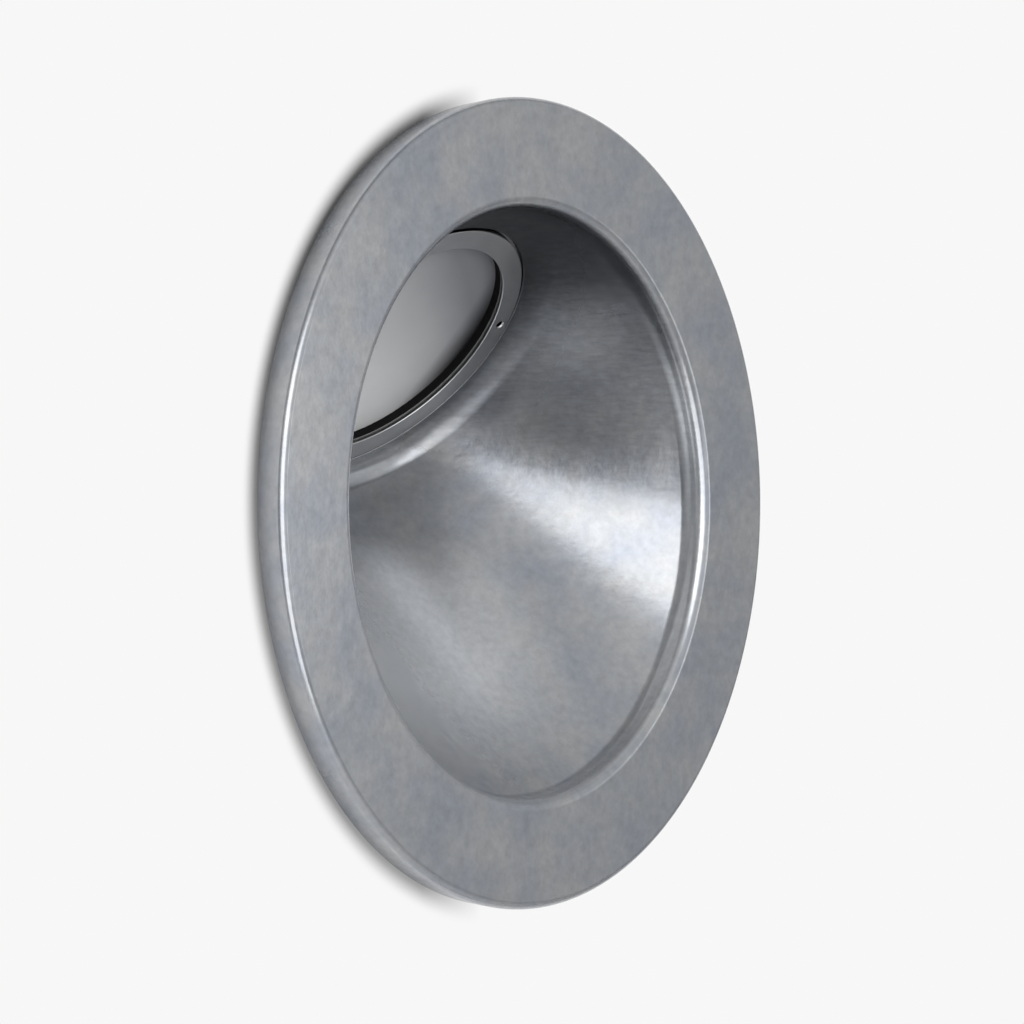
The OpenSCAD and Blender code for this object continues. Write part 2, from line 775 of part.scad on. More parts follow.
module driver_case() {
    body_h = driver_h - driver_lid_t;
    color([0.93, 0.93, 0.92])
    difference() {
        union() {
            translate([driver_x - driver_l/2, driver_y, driver_z - driver_w/2])
                cube([driver_l, body_h, driver_w]);
            translate([driver_x - driver_l/2 - ear_l, driver_y, ear_left_z - ear_w/2])
                cube([ear_l + past, ear_t, ear_w]);
            translate([driver_x + driver_l/2 - past, driver_y, ear_right_z - ear_w/2])
                cube([ear_l + past, ear_t, ear_w]);
        }
        for (hole = driver_holes())
            translate([hole[0], 0, hole[1]])
                in_wall(driver_y - past) cylinder(r = m3_screw[0] + fit_gap, h = ear_t + 2*past);
        // Wire entries on the upper side
        translate([light_entry_x, light_entry_y, driver_z + driver_w/2 - entry_depth])
            cylinder(r = lead_r + fit_gap, h = entry_depth + past);
        for (k = [0, 1])
            translate([mains_entry_x(k), mains_y, driver_z + driver_w/2 - entry_depth])
                cylinder(r = block_hole_r, h = entry_depth + past);
    }
}

function mains_entry_x(k) = driver_x - driver_l/2 + mains_edge + mains_pitch*(1 - k);
function pole_x(k) = block_x + (k - (poles - 1)/2)*pole_w;

module driver_lid() {
    color([0.88, 0.88, 0.87])
    translate([driver_x - driver_l/2, driver_y + driver_h - driver_lid_t, driver_z - driver_w/2])
        cube([driver_l, driver_lid_t, driver_w]);
}

module driver_screws() {
    color([0.7, 0.7, 0.72])
    for (hole = driver_holes())
        translate([hole[0], 0, hole[1]])
            in_wall(driver_y + ear_t) screw(m3_screw, ear_t + bracket_t + 1);
}

module terminal_block() {
    width = poles*pole_w;
    color([0.9, 0.88, 0.82])
    difference() {
        translate([block_x - width/2, block_y, block_z - block_h/2]) cube([width, block_d, block_h]);
        // A wire hole through each pole, and a screw well at each of its ends
        for (k = [0 : poles - 1]) {
            translate([pole_x(k), mains_y, block_z - block_h/2 - past])
                cylinder(r = block_hole_r, h = block_h + 2*past);
            for (end = [-1, 1])
                translate([pole_x(k), 0, block_z + end*block_screw_off])
                    in_wall(mains_y) cylinder(r = m2_screw[1] + 0.2, h = block_d);
        }
        translate([block_x, 0, block_z])
            in_wall(block_y - past) cylinder(r = m2_screw[0] + fit_gap, h = block_d);
    }
}

module terminal_screws() {
    color([0.75, 0.62, 0.3])
    for (k = [0 : poles - 1])
        for (end = [-1, 1])
            translate([pole_x(k), 0, block_z + end*block_screw_off])
                in_wall(mains_y + block_hole_r - fit_gap)
                    cylinder(r = m2_screw[1] + 0.2 - fit_gap, h = block_screw_l);
}

// The live and neutral wires from the block to the driver
module mains_wires() {
    color([0.35, 0.3, 0.5])
    for (k = [0, 1]) {
        start = [pole_x(k + 1), mains_y, block_z + block_h/2 - entry_depth];
        finish = [mains_entry_x(k), mains_y, driver_z + driver_w/2 - entry_depth];
        rise = [0, 0, 28 - 12*k];
        wire(start, start + rise, finish + rise, finish, wire_r, rings = 12);
    }
}

module earth_screw() {
    color([0.75, 0.62, 0.3])
    translate([earth_x, 0, earth_z])
        in_wall(bracket_y + bracket_t) {
            difference() {
                cylinder(r = m4_screw[1] + 1, h = earth_eye_t);
                translate([0, 0, -past]) cylinder(r = m4_screw[0] - 0.2, h = earth_eye_t + 2*past);
            }
            translate([0, 0, earth_eye_t]) screw(m4_screw, earth_eye_t + bracket_t + 1);
        }
}

// The earth wire from the block to the bracket
module earth_wire() {
    start = [pole_x(0), mains_y, block_z + block_h/2 - entry_depth];
    finish = [earth_x - m4_screw[1] - 1, bracket_y + bracket_t + wire_r, earth_z];
    color([0.3, 0.65, 0.2])
    wire(start, start + [0, 0, 12], finish + [-4, 3, 0], finish, wire_r, rings = 12);
}

// Turns an arm's own frame, radius along X and depth along Z, to its place in the can
module arm_place(angle) {
    rotate([0, -angle, 0]) rotate([-90, 0, 0]) children();
}

module arm_rivet_line(radius) {
    translate([arm_base_r - arm_bracket_t - past, 0, arm_rivet_z]) rotate([0, 90, 0])
        cylinder(r = radius, h = arm_bracket_t + spigot_t + past - 0.3);
}

// Runs from the pin along an arm's blade
module on_arm() {
    translate([arm_pin_at[0], 0, arm_pin_at[1]]) rotate([0, arm_lean, 0]) children();
}

module arm_pin(radius, width) {
    translate([arm_pin_at[0], width/2, arm_pin_at[1]]) rotate([90, 0, 0])
        cylinder(r = radius, h = width);
}

// Sheet brackets riveted inside the locating ring, each with two ears for a pin
module arm_brackets() {
    base_l = spigot_l - hub_back;
    ear_start = spigot_l - 3;
    ear_l = arm_pin_at[1] - ear_start + arm_eye_r;
    ear_h = arm_base_r - arm_pin_at[0] + arm_eye_r;
    color([0.7, 0.71, 0.73])
    for (angle = arm_angles)
        arm_place(angle) difference() {
            union() {
                translate([arm_base_r - arm_bracket_t, -arm_bracket_w/2, spigot_l - base_l])
                    cube([arm_bracket_t, arm_bracket_w, base_l + 2]);
                for (y = [-arm_bracket_w/2, arm_bracket_w/2 - arm_bracket_t])
                    translate([arm_base_r - ear_h, y, ear_start])
                        cube([ear_h, arm_bracket_t, ear_l]);
            }
            arm_pin(arm_pin_r + fit_gap, arm_bracket_w + 2*past);
            arm_rivet_line(rivet_r + fit_gap);
        }
}

module arm_rivets() {
    color([0.72, 0.72, 0.74])
    for (angle = arm_angles)
        arm_place(angle)
            translate([arm_base_r - arm_bracket_t, 0, arm_rivet_z]) rotate([0, 90, 0]) {
                translate([0, 0, -rivet_head_h]) cylinder(r = rivet_head_r, h = rivet_head_h);
                cylinder(r = rivet_r, h = spigot_t + arm_bracket_t - 0.5);
            }
}

module arm_pins() {
    color([0.75, 0.75, 0.77])
    for (angle = arm_angles)
        arm_place(angle) arm_pin(arm_pin_r, arm_bracket_w + 1);
}

// One arm: an eye on the pin, a blade and a round nose that bears on the can
module spring_arm(angle) {
    color([0.78, 0.79, 0.8])
    arm_place(angle) difference() {
        union() {
            translate([arm_pin_at[0], arm_eye_y + arm_w, arm_pin_at[1]])
                rotate([90, 0, 0]) cylinder(r = arm_eye_r, h = arm_w);
            on_arm() translate([-arm_t/2, arm_eye_y, 0]) cube([arm_t, arm_w, arm_l]);
            translate([arm_nose_at[0], arm_eye_y + arm_nose_w, arm_nose_at[1]])
                rotate([90, 0, 0]) cylinder(r = arm_nose_r, h = arm_nose_w);
        }
        arm_pin(arm_pin_r + fit_gap, arm_bracket_w);
    }
}

// The coil round each pin, with one leg on the bracket and one along the arm
module arm_springs() {
    eye_end = arm_eye_y + arm_w;
    room = arm_bracket_w/2 - arm_bracket_t - eye_end;
    end_gap = 0.7;
    coil_l = min(room - 2*end_gap, arm_turns*2.6*arm_wire_r);
    coil_start = eye_end + end_gap;
    steps = 12;
    count = arm_turns*steps;
    sides = 6;
    function coil_point(k) = [
        arm_pin_at[0] + arm_coil_r*cos(360*k/steps),
        coil_start + coil_l*k/count,
        arm_pin_at[1] + arm_coil_r*sin(360*k/steps)];
    path = concat(
        [coil_point(0) + [0, 0, -5]],
        [for (k = [0 : count]) coil_point(k)],
        [coil_point(count) + [0.6, 0, 8]]);
    color([0.5, 0.51, 0.53])
    for (angle = arm_angles)
        arm_place(angle) swept(path, arm_wire_r, sides, [0, 1, 0]);
}

module arm_right() {
    spring_arm(arm_angles[0]);
}

module arm_left() {
    spring_arm(arm_angles[1]);
}

module arm_bottom() {
    spring_arm(arm_angles[2]);
}

module recess_can() {
    color([0.7, 0.71, 0.73])
    in_wall() difference() {
        union() {
            tube(can_r, can_inner_r, back_y);
            translate([0, 0, back_y - back_t]) tube(can_r, can_inner_r - can_edge_w, back_t);
        }
        back_rivet_places() cylinder(r = rivet_r + fit_gap, h = 4*past + back_t, center = true);
    }
}

module back_rivet_places() {
    for (k = [0 : back_rivets - 1])
        rotate([0, 0, 360*(k + 0.5)/back_rivets])
            translate([can_inner_r - can_edge_w/2, 0, back_y - back_t/2]) children();
}

module can_back() {
    color([0.68, 0.69, 0.71])
    in_wall() difference() {
        translate([0, 0, back_y]) cylinder(r = can_r, h = back_t);
        back_rivet_places() cylinder(r = rivet_r + fit_gap, h = 6*past + 2*back_t, center = true);
        for (k = [0 : 3])
            rotate([0, 0, 45 + 90*k]) translate([wall_screw_pcr, 0, back_y - past])
                cylinder(r = wall_screw_r, h = back_t + 2*past);
        for (side = [-1, 1])
            translate([side*entry_x, 0, back_y - past])
                cylinder(r = entry_r + fit_gap, h = back_t + 2*past);
    }
}

module back_rivets() {
    color([0.6, 0.6, 0.62])
    in_wall() for (k = [0 : back_rivets - 1])
        rotate([0, 0, 360*(k + 0.5)/back_rivets])
            translate([can_inner_r - can_edge_w/2, 0, back_y + back_t]) rivet(2*back_t);
}

// Cable entry on the left, from the inside of the can outwards
module at_gland() {
    in_wall(back_y + back_t) translate([-entry_x, 0, 0]) children();
}

module gland_washer() {
    color([0.05, 0.05, 0.05])
    at_gland() tube(entry_r + 2.5, entry_r + fit_gap, gland_washer_t);
}

module gland_body() {
    hex_r = gland_hex_w/2/cos(30);
    color([0.12, 0.12, 0.12])
    at_gland() difference() {
        union() {
            translate([0, 0, -gland_thread_l]) cylinder(r = entry_r, h = gland_thread_l + gland_washer_t);
            translate([0, 0, gland_washer_t]) cylinder(r = hex_r, h = gland_hex_t, $fn = 6);
            translate([0, 0, gland_collar_at]) cylinder(r = gland_collar_r, h = gland_collar_l);
        }
        translate([0, 0, -gland_thread_l - past])
            cylinder(r = gland_bore_r, h = gland_thread_l + gland_collar_at + gland_collar_l + 2*past);
    }
}

module gland_locknut() {
    nut_r = (gland_hex_w + 2)/2/cos(30);
    color([0.12, 0.12, 0.12])
    at_gland() translate([0, 0, -back_t - gland_locknut_t]) difference() {
        cylinder(r = nut_r, h = gland_locknut_t, $fn = 6);
        translate([0, 0, -past])
            cylinder(r = entry_r + fit_gap, h = gland_locknut_t + 2*past);
    }
}

module gland_seal() {
    color([0.25, 0.25, 0.25])
    at_gland() translate([0, 0, gland_collar_at - gland_seal_sunk])
        tube(gland_bore_r - fit_gap, cable_r, gland_collar_l + gland_seal_sunk);
}

module gland_nut() {
    hex_r = gland_hex_w/2/cos(30);
    color([0.12, 0.12, 0.12])
    at_gland() translate([0, 0, gland_collar_at + 0.3]) difference() {
        union() {
            cylinder(r = hex_r, h = gland_nut_hex_l, $fn = 6);
            translate([0, 0, gland_nut_hex_l])
                cylinder(
                    r1 = gland_hex_w/2 - 0.5,
                    r2 = gland_hex_w/2 - 4,
                    h = gland_nut_l - gland_nut_hex_l);
        }
        translate([0, 0, -past]) cylinder(r = gland_collar_r + fit_gap, h = gland_collar_l + past);
        cylinder(r = cable_r + 0.8, h = gland_nut_l + past);
    }
}

module blanking_plug() {
    color([0.12, 0.12, 0.12])
    in_wall(back_y + back_t) translate([entry_x, 0, 0]) {
        cylinder(r = plug_head_r, h = plug_head_t);
        translate([0, 0, -back_t - plug_grip]) cylinder(r = entry_r, h = back_t + plug_grip);
    }
}

recess_can();
can_back();
back_rivets();
gland_body();
gland_washer();
gland_locknut();
gland_seal();
gland_nut();
blanking_plug();
dish();
wall_gasket();
lamp_barrel();
barrel_seal();
barrel_screws();
front_gasket();
lens_glass();
rear_seal();
reflector();
light_board();
light_chips();
board_screws();
thermal_pad();
heat_sink();
sink_screws();
grommet();
light_lead();
spacer_posts();
bracket_plate();
bracket_screws();
driver_case();
driver_lid();
driver_screws();
terminal_block();
terminal_screws();
mains_wires();
earth_screw();
earth_wire();
arm_brackets();
arm_rivets();
arm_pins();
arm_springs();
slip_washer();
lens_ring();
arm_right();
arm_left();
arm_bottom();
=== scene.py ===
"""Looks of a round recessed wall light: cast dish, turned lens ring and the can in the wall."""
import math

import bpy
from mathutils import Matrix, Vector


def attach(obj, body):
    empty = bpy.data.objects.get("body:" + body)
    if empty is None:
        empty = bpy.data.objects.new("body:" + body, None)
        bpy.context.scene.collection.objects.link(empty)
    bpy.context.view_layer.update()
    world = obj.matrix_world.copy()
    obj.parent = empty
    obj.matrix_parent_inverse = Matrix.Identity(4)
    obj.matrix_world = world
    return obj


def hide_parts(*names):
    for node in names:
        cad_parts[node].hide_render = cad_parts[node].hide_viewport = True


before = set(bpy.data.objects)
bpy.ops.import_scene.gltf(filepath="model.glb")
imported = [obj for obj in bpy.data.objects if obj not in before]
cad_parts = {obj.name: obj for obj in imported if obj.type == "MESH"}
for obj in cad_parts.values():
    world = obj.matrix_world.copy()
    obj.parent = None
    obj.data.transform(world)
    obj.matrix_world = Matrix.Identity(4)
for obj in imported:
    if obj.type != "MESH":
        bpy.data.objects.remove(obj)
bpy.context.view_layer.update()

MM = 0.001
SEGMENTS = 192
# Points nearer than this, in metres, are merged
MERGE_NEAR = 0.000002
# A smaller change of radius or tilt between two rings is left out
NO_CHANGE = 1e-9
# Edges longer than this, in millimetres, are the scoop's
LONG_EDGE = 10

# Lamp axis: its front plane's centre, and how far it tips up from level
TILT = 43.0
RING_BACK = 36.6
RING_RISE = 39.0

# Front plate, in millimetres; depths are along +Y from the wall surface
PLATE_R = 100.8
PLATE_FOOT_R = 100.1
FRONT_Y = -8.2
PLATE_BACK_Y = -3.6
RIM_ROUND = 2.0
SKIRT_R = 97.2
RIM_END_Y = -0.12
RIM_EDGE = 0.15
MOUTH_R = 73.5
MOUTH_ROUND = 3.0
LAND_END_Y = -2.6
LAND_SOFT = 1.6
HUB_R = 78.5
HUB_BACK_Y = 3.0
SPIGOT_R = 85.9
SPIGOT_INNER_R = 82.9
SPIGOT_END_Y = 14.0
EDGE = 0.35

# Ledge and socket, as radius and depth along the lamp axis
LEDGE_R = 46.6
LEDGE_SOFT = 5.0
LEDGE_BORE_R = 40.7
SOCKET_START = 1.7
SOCKET_R = 43.05
SOCKET_END = 9.0
SEAT_R = 49.0
SCOOP_T = 3.2
SCOOP_BACK_R = 74.8
SCOOP_CUTS = 14
SCOOP_BACK_CUTS = 6

# Posts on the dish's back
POST_PCR = 77.9
POST_R = 3.5
POST_ANGLES = (-17, -58, -122, -163)
PAD_BELOW = 0.02
PAD_BITE = 1.0
PAD_SIDES = 32

# Lens ring
RING_R = 39.95
RING_INNER_R = 34.0
RING_PROUD = 0.3
RING_SKIRT = 6.2
RING_WALL = 3.35
LIP_BEVEL = 0.16
LIP_BACK = 0.1
THREAD_DEPTH = 0.55
THREAD_PITCH = 1.0
PIN_HOLE_R = 1.0
PIN_HOLE_WIDE_R = 1.3
PIN_HOLE_L = 2.5
PIN_HOLE_ANGLE = 15.5

# Glass: its front is crowned, so its edge lies deeper than its middle
GLASS_R = 36.3
GLASS_START = 3.6
GLASS_EDGE_START = 3.5
GLASS_CROWN = 1.7
GLASS_T = 4.0
GLASS_EDGE = 0.4
CROWN_STEPS = 12


def deselect():
    bpy.ops.object.select_all(action="DESELECT")
    bpy.context.view_layer.objects.active = None


def take_name(name):
    piece = bpy.context.object
    piece.name = name
    piece.data.name = name
    return piece


def edit():
    bpy.ops.object.mode_set(mode="EDIT")


def leave():
    bpy.ops.object.mode_set(mode="OBJECT")


def close_up():
    """Merges what meets in the active piece, turns its faces outwards and applies its place."""
    edit()
    bpy.ops.mesh.select_all(action="SELECT")
    bpy.ops.mesh.remove_doubles(threshold=MERGE_NEAR)
    bpy.ops.mesh.normals_make_consistent(inside=False)
    leave()
    bpy.ops.object.transform_apply(location=True, rotation=True, scale=True)


def smooth(piece, angle=32):
    """Shades rounds smooth and keeps the flats between them flat."""
    deselect()
    piece.select_set(True)
    bpy.context.view_layer.objects.active = piece
    bpy.ops.object.shade_smooth_by_angle(angle=math.radians(angle))
    flats = piece.modifiers.new("flats", "WEIGHTED_NORMAL")
    flats.keep_sharp = True
    bpy.ops.object.modifier_apply(modifier=flats.name)


def arc(radius_at, depth_at, radius, start, end, steps):
    """Points of (radius, depth) on a round, from one angle to another, 0 being outwards."""
    points = []
    for k in range(steps + 1):
        a = math.radians(start + (end - start) * k / steps)
        points.append((radius_at + radius * math.cos(a), depth_at + radius * math.sin(a)))
    return points


def lamp_axis():
    a = math.radians(TILT)
    return Vector((0, math.cos(a), math.sin(a)))


WALL = (Vector((0, 0, 0)), Vector((0, 1, 0)), 0.0)
LAMP = (Vector((0, RING_BACK, RING_RISE)), lamp_axis(), math.radians(TILT))


def place_of(axis_frame, depth):
    centre, along, _ = axis_frame
    return (centre + along * depth) * MM


def revolve(name, axis_frame, section, steps=SEGMENTS):
    """Turns a section of (radius, depth) points, in millimetres, once round an axis."""
    centre, along, _ = axis_frame
    deselect()
    bpy.ops.mesh.primitive_plane_add(size=0.01)
    piece = take_name(name)
    edit()
    bpy.ops.mesh.select_mode(type="VERT")
    bpy.ops.mesh.select_all(action="SELECT")
    bpy.ops.mesh.merge(type="CENTER")
    spots = []
    for radius, depth in section:
        spots.append((centre + along * depth + Vector((radius, 0, 0))) * MM)
    bpy.ops.transform.translate(value=spots[0])
    for k in range(1, len(spots)):
        step = spots[k] - spots[k - 1]
        bpy.ops.mesh.extrude_vertices_move(TRANSFORM_OT_translate={"value": step})
    if section[0][0] > 0 or section[-1][0] > 0:
        bpy.ops.mesh.extrude_vertices_move(TRANSFORM_OT_translate={"value": spots[0] - spots[-1]})
    bpy.ops.mesh.select_all(action="SELECT")
    bpy.ops.mesh.remove_doubles(threshold=MERGE_NEAR)
    bpy.ops.mesh.spin(steps=steps, angle=math.tau, center=centre * MM, axis=along)
    leave()
    close_up()
    return piece


def draw_ring(name, axis_frame, radius, depth):
    deselect()
    centre = place_of(axis_frame, depth)
    bpy.ops.mesh.primitive_circle_add(
        vertices=SEGMENTS, radius=radius * MM, fill_type="NOTHING",
        location=centre, rotation=(math.pi / 2 + axis_frame[2], 0, 0))
    piece = take_name(name)
    bpy.ops.object.transform_apply(location=True, rotation=True, scale=True)
    return piece


def loft(name, rings):
    """Extrudes a ring of edges from one ring to the next and back to the first."""
    now_frame, now_r, now_depth = rings[0]
    piece = draw_ring(name, now_frame, now_r, now_depth)
    edit()
    bpy.ops.mesh.select_all(action="SELECT")
    for axis_frame, radius, depth in rings[1:] + rings[:1]:
        here = place_of(now_frame, now_depth)
        there = place_of(axis_frame, depth)
        bpy.ops.mesh.extrude_edges_move(TRANSFORM_OT_translate={"value": there - here})
        if abs(radius - now_r) > NO_CHANGE:
            grow = radius / now_r
            bpy.ops.transform.resize(value=(grow, grow, grow), center_override=there)
        turn = axis_frame[2] - now_frame[2]
        if abs(turn) > NO_CHANGE:
            bpy.ops.transform.rotate(value=-turn, orient_axis="X", center_override=there)
        now_frame, now_r, now_depth = axis_frame, radius, depth
    leave()
    close_up()
    return piece


def on_ring(point, axis_frame, radius, depth, near=0.00001):
    """Whether a point in metres lies on that ring."""
    centre, along, _ = axis_frame
    away = point - centre * MM
    deep = away.dot(along)
    out = (away - along * deep).length
    return abs(deep - depth * MM) < near and abs(out - radius * MM) < near


def pick_edges(piece, test):
    """Selects the edges whose two ends pass a test, and nothing else."""
    mesh = piece.data
    bpy.context.view_layer.objects.active = piece
    edit()
    bpy.ops.mesh.select_mode(type="EDGE")
    bpy.ops.mesh.select_all(action="DESELECT")
    leave()
    for edge in mesh.edges:
        a = mesh.vertices[edge.vertices[0]].co
        b = mesh.vertices[edge.vertices[1]].co
        edge.select = test(a, b)
    edit()


def soften_ring(piece, axis_frame, radius, depth, size, segments):
    pick_edges(piece, lambda a, b: on_ring(a, axis_frame, radius, depth)
               and on_ring(b, axis_frame, radius, depth))
    bpy.ops.mesh.bevel(offset=size * MM, segments=segments, profile=0.5, affect="EDGES",
                       clamp_overlap=False)
    leave()


def cut_across(piece, near_point, cuts):
    """Subdivides the ring of long edges that one long edge near a point belongs to."""
    mesh = piece.data
    best = None
    for edge in mesh.edges:
        a = mesh.vertices[edge.vertices[0]].co
        b = mesh.vertices[edge.vertices[1]].co
        if (a - b).length < LONG_EDGE * MM:
            continue
        away = ((a + b) / 2 - near_point).length
        if best is None or away < best[0]:
            best = (away, edge.index)
    pick_edges(piece, lambda a, b: False)
    leave()
    mesh.edges[best[1]].select = True
    edit()
    bpy.ops.mesh.loop_multi_select(ring=True)
    bpy.ops.mesh.subdivide(number_cuts=cuts)
    leave()


def combine(piece, tool, operation):
    """Adds or takes away a tool's shape, and removes the tool."""
    change = piece.modifiers.new("combine", "BOOLEAN")
    change.operation = operation
    change.object = tool
    change.solver = "EXACT"
    deselect()
    piece.select_set(True)
    bpy.context.view_layer.objects.active = piece
    bpy.ops.object.modifier_apply(modifier=change.name)
    bpy.data.objects.remove(tool)


# The camera stands at the photograph's place
CAMERA_AWAY = 1.4
CAMERA_AZIMUTH = -53.521
CAMERA_ELEVATION = -0.1288
CAMERA_LENS = 197.57
CAMERA_SHIFT = (0.00188, -0.00857)


def direction(azimuth, elevation):
    """The way from the object to a place: azimuth 0 is in front, 90 to the right."""
    a = math.radians(azimuth)
    e = math.radians(elevation)
    return Vector((math.sin(a) * math.cos(e), -math.cos(a) * math.cos(e), math.sin(e)))


def make_camera():
    data = bpy.data.cameras.new("camera")
    data.lens = CAMERA_LENS
    data.sensor_width = 36.0
    data.shift_x, data.shift_y = CAMERA_SHIFT
    data.clip_start = 0.05
    data.clip_end = 20.0
    camera = bpy.data.objects.new("camera", data)
    bpy.context.scene.collection.objects.link(camera)
    away = direction(CAMERA_AZIMUTH, CAMERA_ELEVATION)
    camera.location = away * CAMERA_AWAY
    camera.rotation_mode = "QUATERNION"
    camera.rotation_quaternion = (-away).to_track_quat("-Z", "Y")
    bpy.context.scene.camera = camera


def linear(colour):
    """An sRGB hex colour as linear red, green, blue and alpha."""
    parts = [int(colour[k:k + 2], 16) / 255 for k in (1, 3, 5)]
    flat = [c / 12.92 if c <= 0.04045 else ((c + 0.055) / 1.055) ** 2.4 for c in parts]
    return (*flat, 1.0)


def add(tree, kind, inputs=None, **settings):
    """Adds a node with its settings; an input is a value or another node's output."""
    made = tree.nodes.new(kind)
    for key, value in settings.items():
        setattr(made, key, value)
    for socket, value in (inputs or {}).items():
        if isinstance(value, bpy.types.NodeSocket):
            tree.links.new(value, made.inputs[socket])
        else:
            made.inputs[socket].default_value = value
    return made


def new_material(name):
    material = bpy.data.materials.new(name)
    material.use_nodes = True
    tree = material.node_tree
    tree.nodes.clear()
    return material, tree


def finish_with(tree, shader):
    out = tree.nodes.new("ShaderNodeOutputMaterial")
    tree.links.new(shader, out.inputs["Surface"])


def per_mm(size):
    """Texture scale that gives features of a size in millimetres on Object coordinates."""
    return 1.0 / (size * MM)


def ramp(tree, value, low, high, low_to, high_to):
    """Maps a value between two limits to another pair, and holds it there outside them."""
    made = add(tree, "ShaderNodeMapRange", {
        "Value": value, "From Min": low, "From Max": high, "To Min": low_to, "To Max": high_to})
    return made.outputs["Result"]


# Painted shade and painted light by place on the dish, in millimetres: each pair is where a painted
# tone starts and stops changing
# Painted shade: the bowl's colour darkens upwards
PAINTED_SHADE_HEIGHT = (0, 62)
# This border slants: its height changes by so much for each millimetre across
SHADE_BAND_TILT = 0.34
SHADE_BAND_HEIGHT = (26.5, 31.5)
OFF_LAND_R = (73.4, 72.6)
LAMP_AWAY = (50, 57)
SHOULDER_SHADE_HEIGHT = (10, 23)
INSIDE_R = (74.6, 73.7)
# Painted light low down at the back of the bowl, and on its land
PAINTED_LIGHT_HEIGHT = (-4, -16)
PAINTED_LIGHT_DEPTH = (2, 22)
PAINTED_LIGHT_ASIDE = (44, 16)
LAND_R = (72.9, 73.4)
LAND_HEIGHT = (0, 40)
# Painted light and painted shadow on the glass, the same way: down its slope, and across to its
# right edge
GLASS_PAINTED_LIGHT = (-54, -3)
GLASS_PAINTED_SHADOW = (24, 33.6)
# And on the wall, across and up
SHADE_ACROSS = (-36, -12)
SHADE_HEIGHT = (-95, 60)
# The wall is darker within this of the plate, in metres
SHADE_REACH = 0.0061


def tone_by(tree, value, pair, low_to, high_to):
    """Maps a place along a pair of limits in millimetres to a pair of levels."""
    return ramp(tree, value, pair[0] * MM, pair[1] * MM, low_to, high_to)


